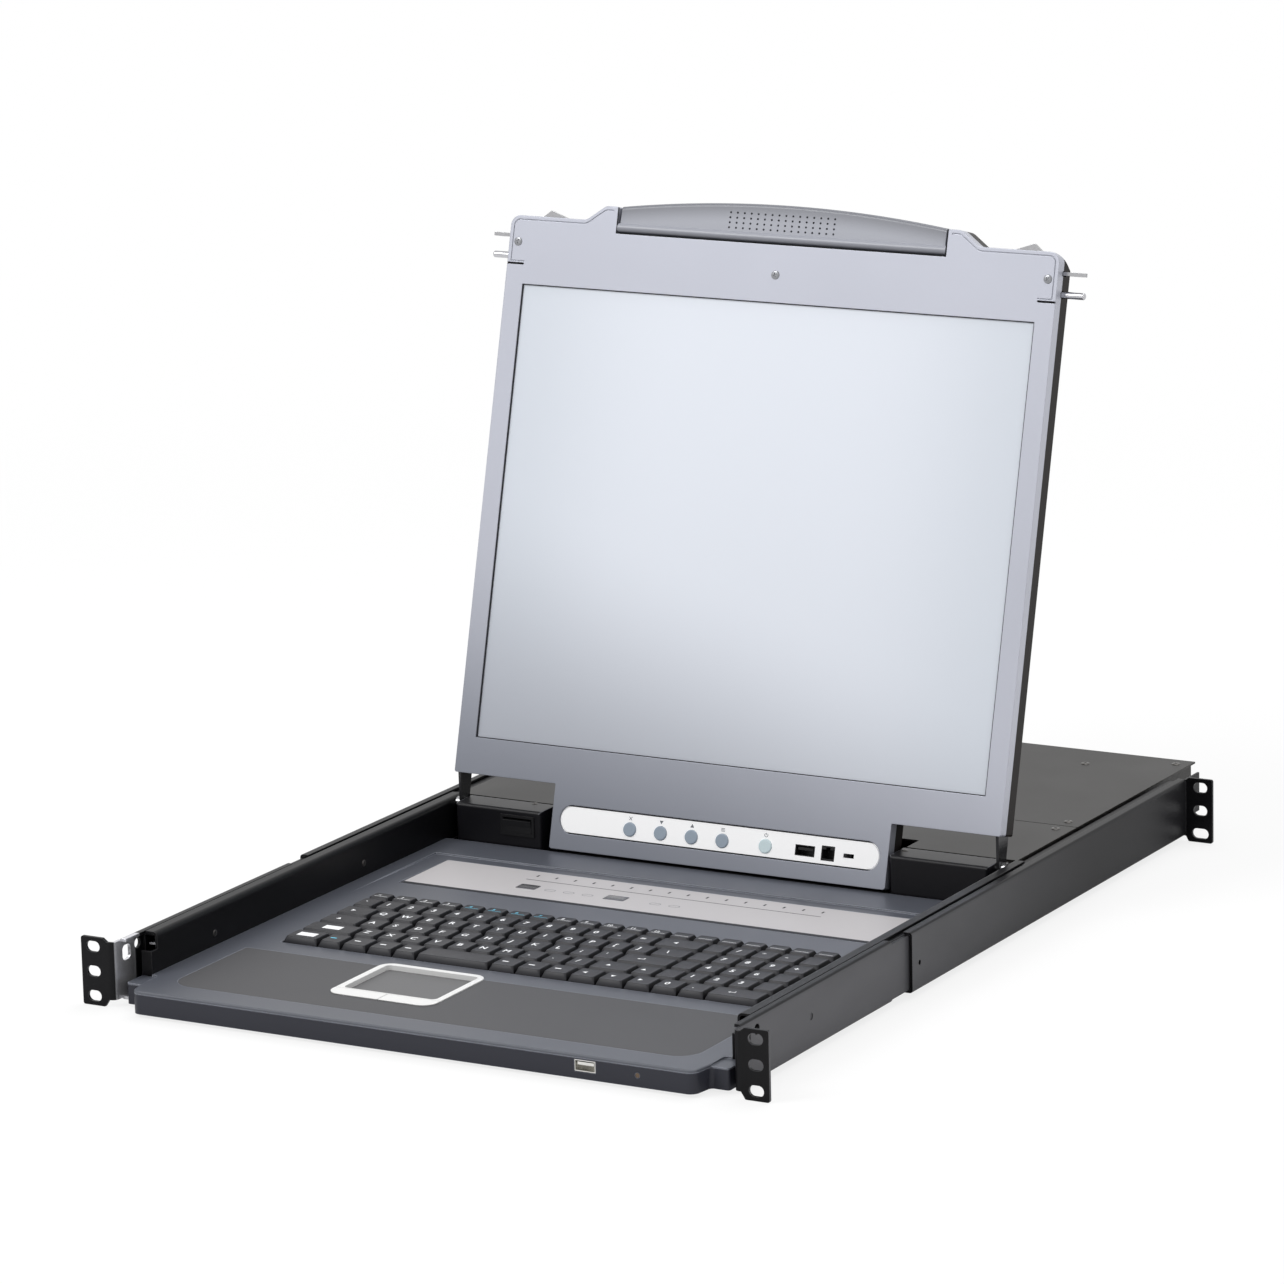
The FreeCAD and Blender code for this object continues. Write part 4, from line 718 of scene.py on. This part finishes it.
# dark sheets of painted shade over the side slits and the gaps around the grip
def makeSeams(look):
    bm = bmesh.new()
    left, right, low, high = look["slit"]
    for side in (-1, 1):
        addUpright(bm, side * left, side * right, low, high, look["face"])
        edge = side * look["reach"]
        addUpright(bm, edge - side * look["gap"], edge, look["low"], look["high"], look["face"])
    addUpright(bm, -look["reach"], look["reach"], look["low"], look["low"] + look["gap"], look["face"])
    finishPiece("bezelSeamShade", bm, ["paintedShadeBlack"], "display", lidTurn, smooth=0)


gasketLook = {"width": 0.6 * mm, "half": 0.18925, "low": 0.0449, "height": 0.3044, "face": -0.0109,
              "thick": 1.1 * mm, "play": 0.05 * mm, "proud": 0.02 * mm, "outer": 0.2 * mm, "inner": 0.1 * mm}


def makeGasket(look):
    bm = bmesh.new()
    left, right = -look["half"] + look["play"], look["half"] - look["play"]
    low, high = look["low"], look["low"] + look["height"]
    foot, crown = look["face"] - look["proud"], look["face"] - look["thick"]
    rings = []
    for inset, depth in ((0, foot), (look["outer"], crown), (look["width"] - look["inner"], crown),
                         (look["width"], foot)):
        corners = ((left + inset, low + inset), (right - inset, low + inset), (right - inset, high - inset),
                   (left + inset, high - inset))
        rings.append(addRing(bm, [(x, depth, z) for x, z in corners]))
    for outer, inner in zip(rings, rings[1:]):
        joinRings(bm, outer, inner)
    finishPiece("panelGasket", bm, ["gasketRubber"], "display", lidTurn)


stripGasketLook = {"middle": -2.1 * mm, "radius": 8.6 * mm, "gap": 0.05 * mm, "width": 0.9 * mm,
                   "face": -0.01195, "flat": 0.01 * mm, "steps": 10}


def makeStripGasket(look):
    bm = bmesh.new()
    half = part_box("control_strip")[1].x
    rings = []
    for grow in (look["gap"], look["gap"] + look["width"]):
        radius = look["radius"] + grow
        points = roundRect(-half - grow, half + grow, look["middle"] - radius, look["middle"] + radius,
                           radius - look["flat"], 0, look["steps"])
        rings.append(addRing(bm, [(x, look["face"], z) for x, z, _ in points]))
    joinRings(bm, *rings)
    finishPiece("stripGasket", bm, ["gasketRubber"], "display", lidTurn, smooth=0)


stripMarkLook = {"face": -0.01203, "height": 3.35 * mm, "size": 2.9 * mm,
                 "marks": {"exit_button": "exit", "down_button": "down", "up_button": "up",
                           "menu_button": "menu", "panel_power_button": "power"}}


def makeStripMarks(look):
    bm = bmesh.new()
    for node, mark in look["marks"].items():
        low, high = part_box(node)
        stamp(bm, mark, ((low.x + high.x) / 2, look["height"], 0), look["size"])
    finishPiece("stripMarks", bm, ["greyInk"], "display", facingFront(look["face"]), smooth=0)


gripDotLook = {"columns": 16, "rows": 4, "half": 38.5 * mm, "low": 396.4 * mm, "high": 406.4 * mm,
               "radius": 0.78 * mm, "crown": 0.6, "sides": 8, "depths": (0.02 * mm, 0.14 * mm),
               "foot": (393.4 * mm, -11.2 * mm), "top": (415.4 * mm, -9.8 * mm)}


# dark dots of painted shade where the grip has dimples
def makeGripDots(look):
    bm = bmesh.new()
    slope = (look["top"][1] - look["foot"][1]) / (look["top"][0] - look["foot"][0])
    radii = look["radius"], look["radius"] * look["crown"]
    for row in range(look["rows"]):
        z = look["low"] + (look["high"] - look["low"]) * row / (look["rows"] - 1)
        y = look["foot"][1] + slope * (z - look["foot"][0])
        for column in range(look["columns"]):
            x = look["half"] * (2 * column / (look["columns"] - 1) - 1)
            foot, crown = (addRing(bm, [(x + dx, y - out, z + dz)
                                        for dx, dz, _ in circle(radius, 0, look["sides"])])
                           for radius, out in zip(radii, look["depths"]))
            joinRings(bm, foot, crown)
            closeRing(bm, crown)
    finishPiece("gripDots", bm, ["darkPrintAndShade"], "display", lidTurn)


makeSeams(seamLook)
makeGasket(gasketLook)
makeStripGasket(stripGasketLook)
makeStripMarks(stripMarkLook)
makeGripDots(gripDotLook)
print("display details")

# port strip: tinted windows, a ruled line with ticks, and a band of painted shadow along its front edge

portStripLook = {"frontShadowBand": (-0.1768, 0.1768, 0.2712, 0.2780), "line": (-0.1060, 0.1110, 0.3146, 0.3154),
                 "lift": 0.03 * mm, "rings": (-0.078, -0.064, -0.050, 0.0, 0.014), "ringY": 0.2975,
                 "ringHalf": (4.0 * mm, 2.0 * mm), "ringRound": 1.9 * mm, "ringLine": 0.5 * mm,
                 "ticks": 16, "tickStart": -0.1024, "tickStep": 0.0140, "tickY": 0.3245,
                 "tickSize": 3.6 * mm, "tickWide": 1.6, "windowY": (0.2940, 0.3040),
                 "windows": ((-0.1025, -0.0880), (-0.0375, -0.0220)), "windowRound": 1.2 * mm,
                 "windowRise": ((0, 0), (0.1 * mm, 0.15 * mm), (0.5 * mm, 0.2 * mm))}


def addPatch(bm, left, right, front, back, height):
    corners = (left, front), (right, front), (right, back), (left, back)
    closeRing(bm, addRing(bm, [(x, y, height) for x, y in corners]))


def makePortStripMarks(look, face):
    bm = bmesh.new()
    # painted shadow: a dark band along the front edge
    addPatch(bm, *look["frontShadowBand"], face)
    addPatch(bm, *look["line"], face)
    for i in range(look["ticks"]):
        x = look["tickStart"] + i * look["tickStep"]
        stamp(bm, "tick", (x, look["tickY"], face), look["tickSize"], 0, look["tickWide"])
    wide, deep = look["ringHalf"]
    front, back = look["ringY"] - deep, look["ringY"] + deep
    for x in look["rings"]:
        outer, inner = (addRing(bm, roundRect(x - wide + inset, x + wide - inset, front + inset, back - inset,
                                              look["ringRound"] - inset, face))
                        for inset in (0, look["ringLine"]))
        joinRings(bm, outer, inner, 1)
    finishPiece("portStripMarks", bm, ["darkPrintAndShade", "greyInk"], "drawer", smooth=0)


def makePortStripWindows(look, face):
    bm = bmesh.new()
    front, back = look["windowY"]
    for left, right in look["windows"]:
        rings = [addRing(bm, roundRect(left + inset, right - inset, front + inset, back - inset,
                                       look["windowRound"], face + up))
                 for inset, up in look["windowRise"]]
        for lower, upper in zip(rings, rings[1:]):
            joinRings(bm, lower, upper)
        closeRing(bm, rings[-1])
    finishPiece("portStripWindows", bm, ["windowTint"], "drawer")


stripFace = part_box("port_strip")[1].z + portStripLook["lift"]
makePortStripMarks(portStripLook, stripFace)
makePortStripWindows(portStripLook, stripFace)
print("port strip marks")

# floor, light and background

studioLook = {"world": 0.55, "aim": (0, 0.3, 0.1), "lights": {
    "key": {"at": (-1.6, -1.8, 2.6), "size": 1.6, "power": 52.0},
    "fill": {"at": (2.4, -1.6, 1.4), "size": 1.4, "power": 8.0},
    "top": {"at": (0.2, 1.2, 2.6), "size": 2.0, "power": 30.0}}}


def makeLight(name, look, aim):
    data = bpy.data.lights.new(name, "AREA")
    data.shape = "DISK"
    data.size = look["size"]
    data.energy = look["power"]
    lamp = bpy.data.objects.new(name, data)
    bpy.context.scene.collection.objects.link(lamp)
    lamp.location = look["at"]
    lamp.rotation_euler = (Vector(aim) - Vector(look["at"])).to_track_quat("-Z", "Y").to_euler()


def makeStudio(look):
    scene = bpy.context.scene
    scene.view_settings.view_transform = "Standard"
    shader = Shader("studio", world=True)
    scene.world = shader.owner
    seen = shader.add("LightPath", output="Is Camera Ray")
    for ray in ("Is Glossy Ray", "Is Transmission Ray"):
        seen = seen.math("MAXIMUM", seen, shader.add("LightPath", output=ray))
    strength = shader.add("MapRange", {}, {"Value": seen, "To Min": look["world"], "To Max": 1.0})
    shader.fill(Color=(1, 1, 1), Strength=strength)
    for name, light in look["lights"].items():
        makeLight(name, light, look["aim"])


floorLook = {"color": (0.95, 0.95, 0.95), "roughness": 0.9, "glow": 0.80, "fade": (0.9, 2.2), "half": 4,
             "below": 0.2 * mm}


def makeFloor(look):
    shader = Shader("floorCard")
    card = Wire(shader, shader.surface.outputs[0])
    shader.fill(Base_Color=look["color"], Roughness=look["roughness"])
    shader.fixed(Specular_IOR_Level=0.0)
    away = shader.add("VectorMath", {"operation": "LENGTH"}, (shader.place(),), "Value")
    seen = shader.add("LightPath", output="Is Camera Ray")
    white = shader.add("Emission", {}, {"Color": (1, 1, 1), "Strength": 1.0})
    clear = shader.add("BsdfTransparent")
    near = shader.add("MixShader", {}, {0: seen * look["glow"], 1: card, 2: white})
    faded = shader.add("MixShader", {}, {0: shader.rise(away, *look["fade"]), 1: near, 2: clear})
    shader.feed(shader.tree.nodes["Material Output"].inputs["Surface"], faded)
    low = cadBox[0].z - look["below"]
    corners = [(x * look["half"], y * look["half"], low) for x, y in ((-1, -1), (1, -1), (1, 1), (-1, 1))]
    mesh = bpy.data.meshes.new("floor")
    mesh.from_pydata(corners, [], [(0, 1, 2, 3)])
    floor = bpy.data.objects.new("floor", mesh)
    bpy.context.scene.collection.objects.link(floor)
    mesh.materials.append(shader.owner)


makeStudio(studioLook)
makeFloor(floorLook)
print("studio ready")
